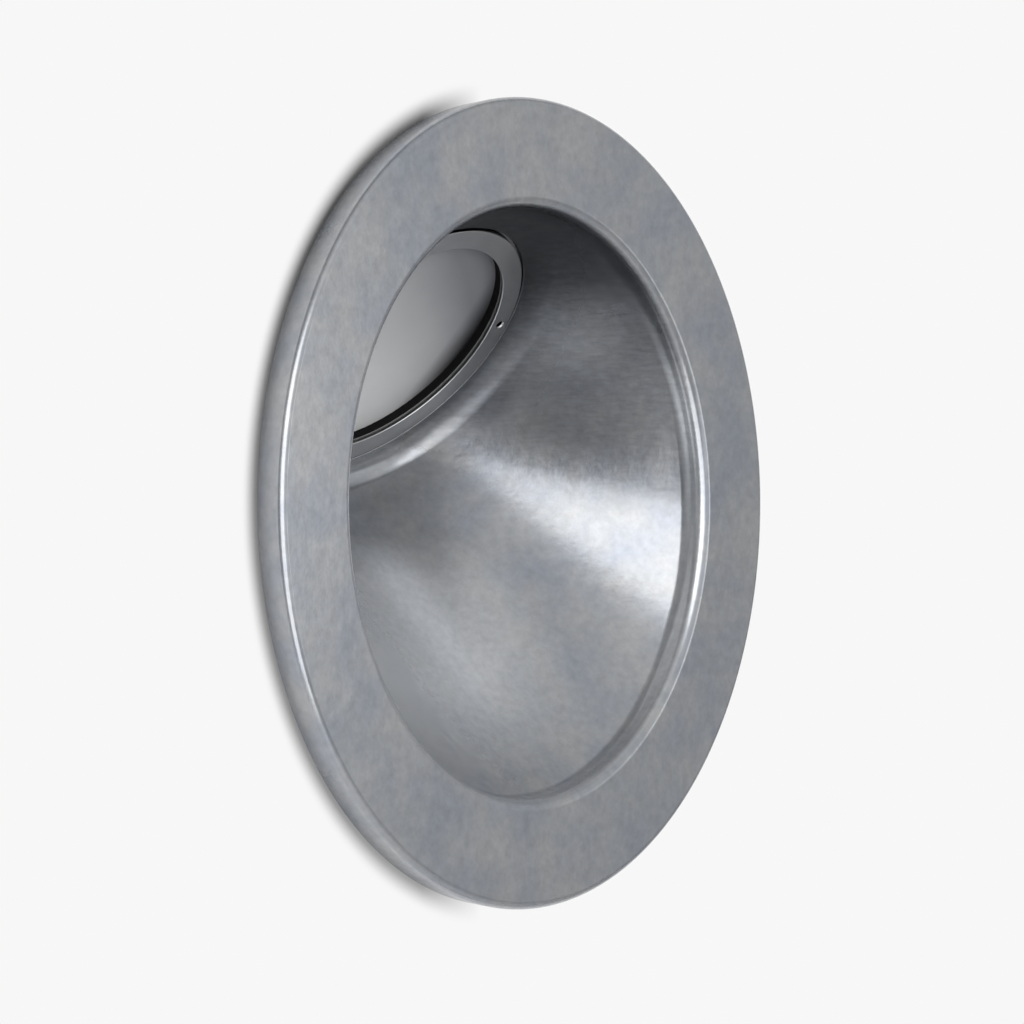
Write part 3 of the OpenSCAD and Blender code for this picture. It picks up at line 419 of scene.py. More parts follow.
def cast_aluminium():
    """Aluminium sand casting, tumbled: a soft satin, cloudy grey with short rub marks.

    The bowl's colour holds painted shade high up and round the lamp, and painted light low down and
    on its land.
    These tones are set by place to match the photograph; the real finish isn't known."""
    material, tree = new_material("tumbled_cast_aluminium")
    place = add(tree, "ShaderNodeTexCoord").outputs["Object"]
    clouds = add(tree, "ShaderNodeTexNoise", {
        "Vector": place, "Scale": per_mm(16), "Detail": 4.0, "Roughness": 0.6})
    blots = add(tree, "ShaderNodeTexNoise", {
        "Vector": place, "Scale": per_mm(4.5), "Detail": 3.0, "Roughness": 0.55})
    grain = add(tree, "ShaderNodeTexNoise", {
        "Vector": place, "Scale": per_mm(0.9), "Detail": 2.0, "Roughness": 0.5})
    level = add(tree, "ShaderNodeMapping", {
        "Vector": place, "Rotation": (math.radians(10), 0, 0), "Scale": (0.2, 0.2, 1.0)})
    marks = add(tree, "ShaderNodeTexNoise", {
        "Vector": level.outputs["Vector"], "Scale": per_mm(0.9), "Detail": 3.0,
        "Roughness": 0.6})
    tint = add(tree, "ShaderNodeMix", {
        "Factor": ramp(tree, clouds.outputs["Fac"], 0.35, 0.65, 0.0, 1.0)}, data_type="RGBA")
    tint.inputs[6].default_value = linear("#999DA5")
    tint.inputs[7].default_value = linear("#A8A9AA")
    rough_cloud = ramp(tree, clouds.outputs["Fac"], 0.3, 0.7, 0.205, 0.235)
    rough_blot = ramp(tree, blots.outputs["Fac"], 0.35, 0.65, -0.01, 0.01)
    rough = add(tree, "ShaderNodeMath", {0: rough_cloud, 1: rough_blot}, operation="ADD")
    parts = add(tree, "ShaderNodeSeparateXYZ", {"Vector": place})
    uneven = add(tree, "ShaderNodeMath", {
        0: clouds.outputs["Fac"], 1: 8 * MM, 2: parts.outputs["Z"]}, operation="MULTIPLY_ADD")
    flat = add(tree, "ShaderNodeCombineXYZ", {"X": parts.outputs["X"], "Z": parts.outputs["Z"]})
    out_by = add(tree, "ShaderNodeVectorMath", {0: flat.outputs["Vector"]}, operation="LENGTH")
    # Painted shade: the bowl darkens upwards, above a slanting line, and round the lamp's shoulder
    height = tone_by(tree, uneven.outputs[0], PAINTED_SHADE_HEIGHT, 0.0, 1.0)
    slant = add(tree, "ShaderNodeMath", {
        0: parts.outputs["X"], 1: SHADE_BAND_TILT, 2: uneven.outputs[0]}, operation="MULTIPLY_ADD")
    shade_band_there = tone_by(tree, slant.outputs[0], SHADE_BAND_HEIGHT, 0.0, 0.45)
    off_land = tone_by(tree, out_by.outputs["Value"], OFF_LAND_R, 0.0, 1.0)
    shade_band = add(tree, "ShaderNodeMath", {0: shade_band_there, 1: off_land}, operation="MULTIPLY")
    near_lamp = add(tree, "ShaderNodeVectorMath", {
        0: place, 1: Vector((0, RING_BACK, RING_RISE)) * MM}, operation="DISTANCE")
    close_by = tone_by(tree, near_lamp.outputs["Value"], LAMP_AWAY, 1.0, 0.0)
    high_up = tone_by(tree, parts.outputs["Z"], SHOULDER_SHADE_HEIGHT, 0.0, 0.65)
    shoulder_shade = add(tree, "ShaderNodeMath", {0: close_by, 1: high_up}, operation="MULTIPLY")
    more_shade = add(tree, "ShaderNodeMath", {0: height, 1: shade_band.outputs[0]}, operation="MAXIMUM")
    most_shade = add(tree, "ShaderNodeMath", {0: more_shade.outputs[0], 1: shoulder_shade.outputs[0]},
                  operation="MAXIMUM")
    inside = tone_by(tree, out_by.outputs["Value"], INSIDE_R, 0.0, 1.0)
    painted_shade = add(tree, "ShaderNodeMath", {0: most_shade.outputs[0], 1: inside}, operation="MULTIPLY")
    # The dark colour mixed in here is painted shade
    tone = add(tree, "ShaderNodeMix", {"Factor": painted_shade.outputs[0]}, data_type="RGBA")
    tree.links.new(tint.outputs[2], tone.inputs[6])
    tone.inputs[7].default_value = linear("#38393C")
    # Painted light: the bowl is lighter low down at the back, and on its land, fading upwards
    low = tone_by(tree, uneven.outputs[0], PAINTED_LIGHT_HEIGHT, 0.0, 1.0)
    deep = tone_by(tree, parts.outputs["Y"], PAINTED_LIGHT_DEPTH, 0.0, 0.8)
    aside = tone_by(tree, parts.outputs["X"], PAINTED_LIGHT_ASIDE, 0.0, 1.0)
    lower = add(tree, "ShaderNodeMath", {0: low, 1: deep}, operation="MULTIPLY")
    painted_light = add(tree, "ShaderNodeMath", {0: lower.outputs[0], 1: aside}, operation="MULTIPLY")
    on_land = tone_by(tree, out_by.outputs["Value"], LAND_R, 0.0, 0.6)
    level_land = tone_by(tree, parts.outputs["Z"], LAND_HEIGHT, 1.0, 0.0)
    land = add(tree, "ShaderNodeMath", {0: on_land, 1: inside}, operation="MULTIPLY")
    painted_land_light = add(tree, "ShaderNodeMath", {0: land.outputs[0], 1: level_land},
                   operation="MULTIPLY")
    lightened = add(tree, "ShaderNodeMath", {0: painted_light.outputs[0], 1: painted_land_light.outputs[0]},
                    operation="MAXIMUM")
    # The pale colour mixed in here is painted light
    bright = add(tree, "ShaderNodeMix", {"Factor": lightened.outputs[0]}, data_type="RGBA")
    tree.links.new(tone.outputs[2], bright.inputs[6])
    bright.inputs[7].default_value = linear("#DEE0E2")
    coarse = add(tree, "ShaderNodeMath", {0: shoulder_shade.outputs[0], 1: 0.2, 2: rough.outputs[0]},
                 operation="MULTIPLY_ADD")
    low_bump = add(tree, "ShaderNodeBump", {
        "Height": blots.outputs["Fac"], "Strength": 0.25, "Distance": 0.0002})
    fine_bump = add(tree, "ShaderNodeBump", {
        "Height": grain.outputs["Fac"], "Strength": 0.12, "Distance": 0.00006,
        "Normal": low_bump.outputs["Normal"]})
    streak = ramp(tree, marks.outputs["Fac"], 0.35, 0.7, -0.12, 0.24)
    within = add(tree, "ShaderNodeMath", {0: streak, 1: painted_shade.outputs[0]}, operation="MULTIPLY")
    mark_bump = add(tree, "ShaderNodeBump", {
        "Height": within.outputs[0], "Strength": 0.3, "Distance": 0.00005,
        "Normal": fine_bump.outputs["Normal"]})
    mottle = add(tree, "ShaderNodeTexNoise", {
        "Vector": place, "Scale": per_mm(2.4), "Detail": 5.0, "Roughness": 0.65})
    cloud = ramp(tree, mottle.outputs["Fac"], 0.3, 0.7, 0.9, 1.1)
    rub = add(tree, "ShaderNodeMath", {0: within.outputs[0], 1: cloud}, operation="ADD")
    painted_and_worn = add(tree, "ShaderNodeVectorMath", {
        0: bright.outputs[2], "Scale": rub.outputs[0]}, operation="SCALE")
    metal = add(tree, "ShaderNodeBsdfPrincipled", {
        "Base Color": painted_and_worn.outputs[0], "Metallic": 0.7, "Roughness": coarse.outputs[0],
        "Normal": mark_bump.outputs["Normal"]})
    finish_with(tree, metal.outputs["BSDF"])
    return material


def turned_aluminium(name="turned_aluminium", dark_below_face=False):
    """Aluminium turned on a lathe: fine round grooves; a ring may be near black below its front
    face.
    """
    material, tree = new_material(name)
    place = add(tree, "ShaderNodeTexCoord").outputs["Object"]
    centre = Vector((0, RING_BACK, RING_RISE)) * MM
    local = add(tree, "ShaderNodeMapping", {"Vector": place, "Location": -centre})
    upright = add(tree, "ShaderNodeVectorRotate", {
        "Vector": local.outputs["Vector"], "Axis": (1, 0, 0), "Angle": math.radians(90 - TILT)},
        rotation_type="AXIS_ANGLE")
    parts = add(tree, "ShaderNodeSeparateXYZ", {"Vector": upright.outputs["Vector"]})
    flat = add(tree, "ShaderNodeCombineXYZ", {"X": parts.outputs["X"], "Y": parts.outputs["Y"]})
    radius = add(tree, "ShaderNodeVectorMath", {0: flat.outputs["Vector"]}, operation="LENGTH")
    groove = add(tree, "ShaderNodeTexNoise", {
        "W": radius.outputs["Value"], "Scale": per_mm(0.25), "Detail": 2.0},
        noise_dimensions="1D")
    clouds = add(tree, "ShaderNodeTexNoise", {
        "Vector": place, "Scale": per_mm(9), "Detail": 3.0})
    tint = add(tree, "ShaderNodeMix", {
        "Factor": ramp(tree, clouds.outputs["Fac"], 0.35, 0.65, 0.0, 1.0)}, data_type="RGBA")
    tint.inputs[6].default_value = linear("#A8A9AB")
    tint.inputs[7].default_value = linear("#B0B0B1")
    bump = add(tree, "ShaderNodeBump", {
        "Height": groove.outputs["Fac"], "Strength": 0.12, "Distance": 0.00003})
    # Deeper than its front face the ring's colour can go near black
    sunk = ramp(tree, parts.outputs["Z"], 0.02 * MM, 0.12 * MM, 1.0, 0.04 if dark_below_face else 1.0)
    shown = add(tree, "ShaderNodeVectorMath", {0: tint.outputs[2], "Scale": sunk},
                operation="SCALE")
    metal = add(tree, "ShaderNodeBsdfPrincipled", {
        "Base Color": shown.outputs[0], "Metallic": 1.0,
        "Roughness": ramp(tree, clouds.outputs["Fac"], 0.3, 0.7, 0.28, 0.34),
        "Normal": bump.outputs["Normal"]})
    finish_with(tree, metal.outputs["BSDF"])
    return material


def frosted_glass():
    """Toughened glass, sand-blasted: a milky satin.

    It carries painted light low down and painted shadow at its right edge, set by place to match
    the photograph."""
    material, tree = new_material("sandblasted_glass")
    place = add(tree, "ShaderNodeTexCoord").outputs["Object"]
    grain = add(tree, "ShaderNodeTexNoise", {
        "Vector": place, "Scale": per_mm(0.3), "Detail": 2.0})
    clouds = add(tree, "ShaderNodeTexNoise", {
        "Vector": place, "Scale": per_mm(20), "Detail": 2.0})
    across = add(tree, "ShaderNodeVectorMath", {0: place, 1: (-0.45, 0.0, -0.89)},
                 operation="DOT_PRODUCT")
    uneven = add(tree, "ShaderNodeMath", {
        0: clouds.outputs["Fac"], 1: 6 * MM, 2: across.outputs["Value"]}, operation="MULTIPLY_ADD")
    # Painted light: the glass lightens down its slope
    tint = add(tree, "ShaderNodeMix", {
        "Factor": tone_by(tree, uneven.outputs[0], GLASS_PAINTED_LIGHT, 0.0, 1.0)}, data_type="RGBA")
    tint.inputs[6].default_value = linear("#707175")
    tint.inputs[7].default_value = linear("#E6E6E5")
    parts = add(tree, "ShaderNodeSeparateXYZ", {"Vector": place})
    # Painted shadow: the glass darkens towards its right edge
    edge = tone_by(tree, parts.outputs["X"], GLASS_PAINTED_SHADOW, 1.0, 0.1)
    toned = add(tree, "ShaderNodeVectorMath", {0: tint.outputs[2], "Scale": edge},
                operation="SCALE")
    bump = add(tree, "ShaderNodeBump", {
        "Height": grain.outputs["Fac"], "Strength": 0.15, "Distance": 0.00002})
    glass = add(tree, "ShaderNodeBsdfPrincipled", {
        "Base Color": toned.outputs[0], "Roughness": 0.3, "IOR": 1.5,
        "Normal": bump.outputs["Normal"]})
    finish_with(tree, glass.outputs["BSDF"])
    return material


def speckled(name, dark, light, size, roughness, metallic=0.0, bump_mm=0.02, stretch=(1, 1, 1),
             shine=0.5):
    """A plain finish with a grain of a size in millimetres in its colour, gloss and relief."""
    material, tree = new_material(name)
    place = add(tree, "ShaderNodeTexCoord").outputs["Object"]
    drawn = add(tree, "ShaderNodeMapping", {"Vector": place, "Scale": stretch})
    grain = add(tree, "ShaderNodeTexNoise", {
        "Vector": drawn.outputs["Vector"], "Scale": per_mm(size), "Detail": 4.0})
    tint = add(tree, "ShaderNodeMix", {
        "Factor": ramp(tree, grain.outputs["Fac"], 0.3, 0.7, 0.0, 1.0)}, data_type="RGBA")
    tint.inputs[6].default_value = linear(dark)
    tint.inputs[7].default_value = linear(light)
    bump = add(tree, "ShaderNodeBump", {
        "Height": grain.outputs["Fac"], "Strength": 0.3, "Distance": bump_mm * MM})
    shader = add(tree, "ShaderNodeBsdfPrincipled", {
        "Base Color": tint.outputs[2], "Metallic": metallic, "Specular IOR Level": shine,
        "Roughness": ramp(tree, grain.outputs["Fac"], 0.3, 0.7, roughness * 0.9, roughness * 1.1),
        "Normal": bump.outputs["Normal"]})
    finish_with(tree, shader.outputs["BSDF"])
    return material


def zinc_plate():
    """Steel sheet, zinc plated and passivated: spangled, slightly blue and yellow."""
    return speckled("zinc_plated_steel", "#A2A6AA", "#B9B9B3", 6, 0.36, 1.0, 0.01)


def bright_steel():
    """Steel screws and pins, bright turned: fine and even."""
    return speckled("bright_steel", "#C4C5C7", "#D2D2D2", 1.5, 0.24, 1.0, 0.005)


def brass():
    """Brass terminals, drawn and cut: warm, a little dulled."""
    return speckled("cut_brass", "#BFA25A", "#D3B86E", 1.5, 0.3, 1.0, 0.005)


def gasket_rubber():
    """EPDM rubber, moulded: black, matt, with a fine dusty bloom."""
    return speckled("moulded_black_rubber", "#08080A", "#101011", 0.6, 0.8, shine=0.15)


def black_nylon():
    """Polyamide gland, moulded: black with a fine spark-eroded grain."""
    return speckled("moulded_black_nylon", "#17181A", "#222325", 0.5, 0.45)


def white_housing():
    """Polycarbonate driver housing, moulded: off-white, fine texture."""
    return speckled("moulded_white_polycarbonate", "#E4E4E0", "#EFEFEB", 0.6, 0.42)


def white_reflector():
    """Thermoformed reflector film: bright white, satin."""
    return speckled("white_reflector_film", "#F0F0EE", "#F7F7F5", 0.4, 0.35, 0.0, 0.005)


def black_anodised():
    """Aluminium heat sink, extruded and anodised black: drawn lines along the fins."""
    return speckled("black_anodised_aluminium", "#1B1B1E", "#2A2A2D", 0.5, 0.38, 0.6, 0.01,
                    (1, 0.1, 1))


def solder_mask():
    """Metal-core board with white solder mask: flat white, slightly glossy."""
    return speckled("white_solder_mask", "#E6E9E2", "#EFF1EC", 0.8, 0.32, 0.0, 0.005)


def phosphor():
    """Phosphor over the light chips, cast in silicone: egg-yolk yellow."""
    return speckled("cast_phosphor_silicone", "#E3C23C", "#F0D558", 0.3, 0.25, 0.0, 0.005)


def gap_filler():
    """Silicone gap filler pad, calendered: pale blue-grey and soft."""
    return speckled("silicone_gap_filler", "#8F9CB0", "#A0ABBD", 0.7, 0.6)


def cable_sheath():
    """PVC wire sheath, extruded: pale grey, smooth."""
    return speckled("extruded_pvc_sheath", "#D0D0CE", "#DDDDDB", 1.0, 0.35, 0.0, 0.005)


def core_colours():
    """PVC wire cores, extruded: brown and blue read as one dark colour here."""
    return speckled("extruded_pvc_cores", "#3A3560", "#5A3A2C", 3.0, 0.35, 0.0, 0.005)


def earth_core():
    """PVC earth core, extruded: green with yellow."""
    return speckled("extruded_pvc_earth", "#3F8F2E", "#C9C23A", 2.0, 0.35, 0.0, 0.005)


def slip_plastic():
    """Acetal slip washer, punched from sheet: natural grey, waxy."""
    return speckled("punched_acetal", "#6A6A6A", "#787878", 0.8, 0.4, 0.0, 0.005)


def dish_section():
    """The rings that the dish is lofted through, from the mouth's inner edge and back."""
    mouth = arc(MOUTH_R + MOUTH_ROUND, FRONT_Y + MOUTH_ROUND, MOUTH_ROUND, 180, 270, 9)
    rim = arc(PLATE_R - RIM_ROUND, FRONT_Y + RIM_ROUND, RIM_ROUND, 270, 360, 8)
    rings = [(WALL, MOUTH_R, LAND_END_Y)]
    rings += [(WALL, r, y) for r, y in mouth + rim]
    rings += [
        (WALL, PLATE_FOOT_R, RIM_END_Y - RIM_EDGE),
        (WALL, PLATE_FOOT_R - RIM_EDGE, RIM_END_Y),
        (WALL, SKIRT_R + EDGE, RIM_END_Y), (WALL, SKIRT_R, RIM_END_Y - EDGE),
        (WALL, SKIRT_R, PLATE_BACK_Y), (WALL, SPIGOT_R, PLATE_BACK_Y),
        (WALL, SPIGOT_R, SPIGOT_END_Y - EDGE), (WALL, SPIGOT_R - EDGE, SPIGOT_END_Y),
        (WALL, SPIGOT_INNER_R + EDGE, SPIGOT_END_Y), (WALL, SPIGOT_INNER_R, SPIGOT_END_Y - EDGE),
        (WALL, SPIGOT_INNER_R, PLATE_BACK_Y), (WALL, HUB_R, PLATE_BACK_Y),
        (WALL, HUB_R, HUB_BACK_Y - EDGE), (WALL, HUB_R - EDGE, HUB_BACK_Y),
        (WALL, SCOOP_BACK_R, HUB_BACK_Y),
        (LAMP, SEAT_R, SCOOP_T), (LAMP, SEAT_R, SOCKET_END - EDGE),
        (LAMP, SEAT_R - EDGE, SOCKET_END), (LAMP, SOCKET_R + EDGE, SOCKET_END),
        (LAMP, SOCKET_R, SOCKET_END - EDGE), (LAMP, SOCKET_R, SOCKET_START),
        (LAMP, LEDGE_BORE_R, SOCKET_START), (LAMP, LEDGE_BORE_R, 0.15),
        (LAMP, LEDGE_BORE_R + 0.15, 0.0), (LAMP, LEDGE_R, 0.0)]
    return rings


def model_dish():
    piece = loft("dish_casting", dish_section())
    soften_ring(piece, LAMP, LEDGE_R, 0.0, LEDGE_SOFT, 8)
    soften_ring(piece, WALL, MOUTH_R, LAND_END_Y, LAND_SOFT, 5)
    at_right = (Vector((MOUTH_R, LAND_END_Y, 0)) + place_of(LAMP, 0) / MM
                + Vector((LEDGE_R, 0, 0))) / 2
    cut_across(piece, at_right * MM, SCOOP_CUTS)
    behind = (Vector((SCOOP_BACK_R, HUB_BACK_Y, 0)) + place_of(LAMP, SCOOP_T) / MM
              + Vector((SEAT_R, 0, 0))) / 2
    cut_across(piece, behind * MM, SCOOP_BACK_CUTS)
    pad_end = HUB_BACK_Y - PAD_BELOW
    pad_start = PLATE_BACK_Y - PAD_BITE
    for angle in POST_ANGLES:
        a = math.radians(angle)
        deselect()
        bpy.ops.mesh.primitive_cylinder_add(
            vertices=PAD_SIDES, radius=POST_R * MM, depth=(pad_end - pad_start) * MM,
            location=Vector((POST_PCR * math.cos(a), (pad_end + pad_start) / 2,
                             POST_PCR * math.sin(a))) * MM,
            rotation=(math.pi / 2, 0, 0))
        combine(piece, bpy.context.object, "UNION")
    smooth(piece)
    return piece


def thread(radius, start, end):
    """Points down a threaded wall, a groove for each turn."""
    points = []
    depth = start
    while depth + THREAD_PITCH <= end:
        points.append((radius, depth))
        points.append((radius - THREAD_DEPTH, depth + THREAD_PITCH * 0.45))
        points.append((radius - THREAD_DEPTH, depth + THREAD_PITCH * 0.55))
        depth += THREAD_PITCH
    points.append((radius, depth))
    return points


def model_ring():
    round_r = 0.25
    section = arc(RING_R - round_r, -RING_PROUD + round_r, round_r, 0, -90, 4)
    section += [(RING_INNER_R + LIP_BEVEL + 0.08, -RING_PROUD),
                (RING_INNER_R + LIP_BEVEL - 0.06, -RING_PROUD + 0.06),
                (RING_INNER_R + 0.05, -RING_PROUD + LIP_BEVEL - 0.05),
                (RING_INNER_R, -RING_PROUD + LIP_BEVEL + 0.05),
                (RING_INNER_R, LIP_BACK),
                (RING_INNER_R + 0.5, LIP_BACK + 0.15),
                (RING_R - RING_WALL, LIP_BACK + 0.2),
                (RING_R - RING_WALL, RING_SKIRT), (RING_R - THREAD_DEPTH, RING_SKIRT)]
    section += thread(RING_R, 0.9, RING_SKIRT - 0.3)[::-1]
    piece = revolve("lens_ring_turned", LAMP, section)
    for turn in (0, 180):
        a = math.radians(turn + PIN_HOLE_ANGLE)
        out = Vector((math.cos(a), -math.sin(a) * math.sin(math.radians(TILT)),
                      math.sin(a) * math.cos(math.radians(TILT))))
        centre = Vector((0, RING_BACK, RING_RISE)) + out * (RING_R + RING_INNER_R) / 2
        hole = revolve("hole", (centre, lamp_axis(), 0), [
            (0, -1.0), (PIN_HOLE_WIDE_R + 0.5, -1.0), (PIN_HOLE_WIDE_R, -RING_PROUD),
            (PIN_HOLE_R, -RING_PROUD + 0.3), (PIN_HOLE_R, PIN_HOLE_L - 0.5),
            (0, PIN_HOLE_L)], 32)
        combine(piece, hole, "DIFFERENCE")
    smooth(piece, 25)
    return piece


def model_glass():
    crown = []
    for k in range(CROWN_STEPS + 1):
        r = RING_INNER_R * k / CROWN_STEPS
        rise = GLASS_CROWN * (1 - (r / RING_INNER_R) ** 2)
        crown.append((r, GLASS_EDGE_START - rise))
    back = GLASS_START + GLASS_T
    section = crown + [(RING_INNER_R + 0.1, GLASS_START), (GLASS_R - GLASS_EDGE, GLASS_START),
                       (GLASS_R, GLASS_START + GLASS_EDGE), (GLASS_R, back - GLASS_EDGE),
                       (GLASS_R - GLASS_EDGE, back), (0, back)]
    piece = revolve("lens_glass_disc", LAMP, section)
    smooth(piece)
    return piece


# Wall round the can's hole, and the floor, in metres
WALL_HOLE_R = 0.0888
WALL_SIZE = 1.6
WALL_OFF = 0.00003
FLOOR_SIZE = 6.0
FLOOR_Z = -0.6


def white_wall():
    """Smooth painted wall: white to the eye, with a soft dark border close on the light's left.

    The border is drawn by how near the plate is, and stands in for the plate's shadow."""
    material, tree = new_material("painted_wall")
    path = add(tree, "ShaderNodeLightPath")
    seen = add(tree, "ShaderNodeMath", {
        0: path.outputs["Is Camera Ray"], 1: path.outputs["Is Glossy Ray"]}, operation="MAXIMUM")
    shown = add(tree, "ShaderNodeMath", {
        0: seen.outputs[0], 1: path.outputs["Is Transmission Ray"]}, operation="MAXIMUM")
    near = add(tree, "ShaderNodeAmbientOcclusion", {"Distance": SHADE_REACH}, samples=12)
    open_part = ramp(tree, near.outputs["AO"], 0.5, 0.93, 0.05, 1.0)
    shade = add(tree, "ShaderNodeMath", {0: 1.0, 1: open_part}, operation="SUBTRACT")
    place = add(tree, "ShaderNodeTexCoord").outputs["Object"]
    parts = add(tree, "ShaderNodeSeparateXYZ", {"Vector": place})
    left_side = tone_by(tree, parts.outputs["X"], SHADE_ACROSS, 1.0, 0.0)
    falling = tone_by(tree, parts.outputs["Z"], SHADE_HEIGHT, 0.7, 1.0)
    left_part = add(tree, "ShaderNodeMath", {0: left_side, 1: falling}, operation="MULTIPLY")
    left_shade = add(tree, "ShaderNodeMath", {0: shade.outputs[0], 1: left_part.outputs[0]},
                     operation="MULTIPLY")
    tone = add(tree, "ShaderNodeMix", {"Factor": left_shade.outputs[0]}, data_type="RGBA")
    tone.inputs[6].default_value = linear("#F7F7F7")
    tone.inputs[7].default_value = linear("#303030")
    glow = add(tree, "ShaderNodeEmission", {"Color": tone.outputs[2], "Strength": 1.0})
    paint = add(tree, "ShaderNodeBsdfDiffuse", {"Color": linear("#F0F0F0")})
    front = add(tree, "ShaderNodeMixShader", {
        0: shown.outputs[0], 1: paint.outputs[0], 2: glow.outputs[0]})
    side = add(tree, "ShaderNodeNewGeometry")
    clear = add(tree, "ShaderNodeBsdfTransparent")
    both = add(tree, "ShaderNodeMixShader", {
        0: side.outputs["Backfacing"], 1: front.outputs[0], 2: clear.outputs[0]})
    finish_with(tree, both.outputs[0])
    return material


def pale_floor():
    """Plain pale floor paint."""
    material, tree = new_material("floor_paint")
    paint = add(tree, "ShaderNodeBsdfDiffuse", {"Color": linear("#E8E8E8")})
    finish_with(tree, paint.outputs[0])
    return material


def make_stage():
    deselect()
    bpy.ops.mesh.primitive_circle_add(
        vertices=128, radius=WALL_HOLE_R, fill_type="NOTHING",
        location=(0, WALL_OFF, 0), rotation=(math.pi / 2, 0, 0))
    wall = take_name("wall")
    bpy.ops.object.transform_apply(location=True, rotation=True, scale=True)
    edit()
    bpy.ops.mesh.select_all(action="SELECT")
    bpy.ops.mesh.extrude_edges_move(TRANSFORM_OT_translate={"value": (0, 0, 0)})
    bpy.ops.transform.resize(value=(WALL_SIZE / WALL_HOLE_R,) * 3, center_override=(0, WALL_OFF, 0))
    bpy.ops.mesh.select_all(action="SELECT")
    bpy.ops.mesh.normals_make_consistent(inside=False)
    leave()
    if wall.data.polygons[0].normal.y > 0:
        edit()
        bpy.ops.mesh.select_all(action="SELECT")
        bpy.ops.mesh.flip_normals()
        leave()
    wall.data.materials.append(white_wall())
    deselect()
    bpy.ops.mesh.primitive_plane_add(size=FLOOR_SIZE, location=(0, 0, FLOOR_Z))
    floor = take_name("floor")
    floor.data.materials.append(pale_floor())


def softbox(name, azimuth, away, width, low, high, corner, edge, radiance):
    """An upright soft lamp with rounded corners and a soft edge, in metres."""
    height = high - low
    data = bpy.data.lights.new(name, "AREA")
    data.shape = "RECTANGLE"
    data.size = width
    data.size_y = height
    data.energy = math.pi * width * height
    data.use_nodes = True
    tree = data.node_tree
    tree.nodes.clear()
    place = add(tree, "ShaderNodeNewGeometry").outputs["Parametric"]
    middle = add(tree, "ShaderNodeVectorMath", {0: place, 1: (0.5, 0.5, 0.0)}, operation="SUBTRACT")
    spread = add(tree, "ShaderNodeVectorMath", {
        0: middle.outputs[0], 1: (width, height, 0.0)}, operation="MULTIPLY")
    one_side = add(tree, "ShaderNodeVectorMath", {0: spread.outputs[0]}, operation="ABSOLUTE")
    past = add(tree, "ShaderNodeVectorMath", {
        0: one_side.outputs[0], 1: (width / 2 - corner, height / 2 - corner, 0.0)},
        operation="SUBTRACT")
    outside = add(tree, "ShaderNodeVectorMath", {
        0: past.outputs[0], 1: (0.0, 0.0, 0.0)}, operation="MAXIMUM")
    away_from = add(tree, "ShaderNodeVectorMath", {0: outside.outputs[0]}, operation="LENGTH")
    inside = ramp(tree, away_from.outputs["Value"], corner - edge, corner, 1.0, 0.0)
    across = add(tree, "ShaderNodeSeparateXYZ", {"Vector": place}).outputs["X"]
    side = ramp(tree, across, 0.0, 0.4, radiance[0], radiance[1])
    level = add(tree, "ShaderNodeMath", {0: inside, 1: side}, operation="MULTIPLY")
    glow = add(tree, "ShaderNodeEmission", {"Strength": level.outputs[0]})
    out = tree.nodes.new("ShaderNodeOutputLight")
    tree.links.new(glow.outputs[0], out.inputs["Surface"])
    lamp = bpy.data.objects.new(name, data)
    bpy.context.scene.collection.objects.link(lamp)
    facing = direction(azimuth, 0)
    lamp.location = facing * away + Vector((0, 0, (low + high) / 2))
    lamp.rotation_mode = "QUATERNION"
    lamp.rotation_quaternion = (-facing).to_track_quat("-Z", "Y")
    lamp.visible_camera = False


# Soft light that the room gives back: azimuth, elevation and level of each broad patch
ROOM_PATCHES = (
    (10, -20, 1.2), (90, 15, 0.4), (-25, 15, 1.2), (0, 50, 0.5), (50, 50, 0.4),
    (20, 15, 0.5), (-65, 15, 0.31), (55, 15, 0.35), (50, -20, 0.2), (-50, 50, 0.2),
    (0, -55, 0.3), (-130, 10, 1.0),
)
PATCH_FOCUS = 10.0


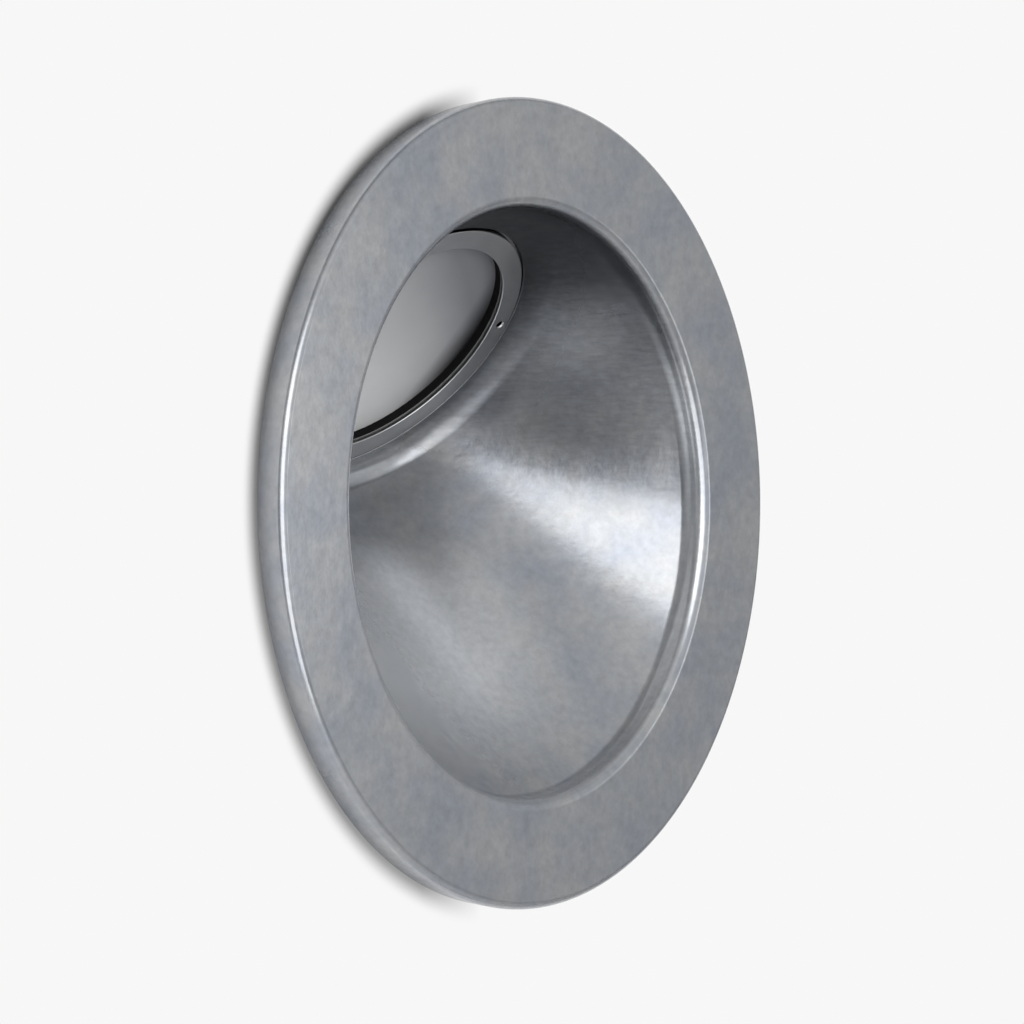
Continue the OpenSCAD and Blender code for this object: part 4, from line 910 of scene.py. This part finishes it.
def make_lights():
    softbox("key", -37, 0.8, 0.7, -0.8, 0.56, 0.2, 0.04, (2.6, 2.25))
    softbox("right", 39, 1.0, 0.36, -0.16, 0.2, 0.17, 0.17, (2.1, 2.1))
    world = bpy.data.worlds.new("room")
    world.use_nodes = True
    tree = world.node_tree
    tree.nodes.clear()
    way = add(tree, "ShaderNodeTexCoord").outputs["Generated"]
    total = None
    for azimuth, elevation, level in ROOM_PATCHES:
        facing = add(tree, "ShaderNodeVectorMath", {
            0: way, 1: direction(azimuth, elevation)}, operation="DOT_PRODUCT")
        front = add(tree, "ShaderNodeMath", {0: facing.outputs["Value"], 1: 0.0},
                    operation="MAXIMUM")
        narrow = add(tree, "ShaderNodeMath", {0: front.outputs[0], 1: PATCH_FOCUS},
                     operation="POWER")
        patch = add(tree, "ShaderNodeMath", {
            0: narrow.outputs[0], 1: level, 2: 0.0 if total is None else total},
            operation="MULTIPLY_ADD")
        total = patch.outputs[0]
    room = add(tree, "ShaderNodeBackground", {"Color": linear("#FDFEFF"), "Strength": total})
    out = tree.nodes.new("ShaderNodeOutputWorld")
    tree.links.new(room.outputs[0], out.inputs["Surface"])
    bpy.context.scene.world = world


def paint(piece, material):
    piece.data.materials.clear()
    piece.data.materials.append(material)


FINISHES = {
    zinc_plate: ["recess_can", "can_back", "spacer_posts", "bracket_plate", "arm_brackets",
                 "arm_right", "arm_left", "arm_bottom"],
    bright_steel: ["back_rivets", "barrel_screws", "board_screws", "sink_screws", "bracket_screws",
                   "driver_screws", "arm_rivets", "arm_pins", "arm_springs"],
    brass: ["terminal_screws", "earth_screw"],
    gasket_rubber: ["wall_gasket", "gland_washer", "gland_seal", "barrel_seal", "front_gasket",
                    "rear_seal", "grommet"],
    black_nylon: ["gland_body", "gland_locknut", "gland_nut", "blanking_plug"],
    turned_aluminium: ["lamp_barrel"],
    white_reflector: ["reflector"],
    solder_mask: ["light_board"],
    phosphor: ["light_chips"],
    gap_filler: ["thermal_pad"],
    black_anodised: ["heat_sink"],
    cable_sheath: ["light_lead"],
    white_housing: ["driver_case", "driver_lid", "terminal_block"],
    core_colours: ["mains_wires"],
    earth_core: ["earth_wire"],
    slip_plastic: ["slip_washer"],
}


def paint_nodes():
    for finish, names in FINISHES.items():
        material = finish()
        for name in names:
            paint(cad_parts[name], material)


make_camera()
make_lights()
make_stage()
paint_nodes()

dish = model_dish()
paint(dish, cast_aluminium())
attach(dish, "dish")
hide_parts("dish")

ring = model_ring()
paint(ring, turned_aluminium("turned_ring", dark_below_face=True))
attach(ring, "lens_ring")
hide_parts("lens_ring")

glass = model_glass()
paint(glass, frosted_glass())
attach(glass, "dish")
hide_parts("lens_glass")

bpy.context.scene.view_settings.view_transform = "Standard"

bpy.context.view_layer.update()
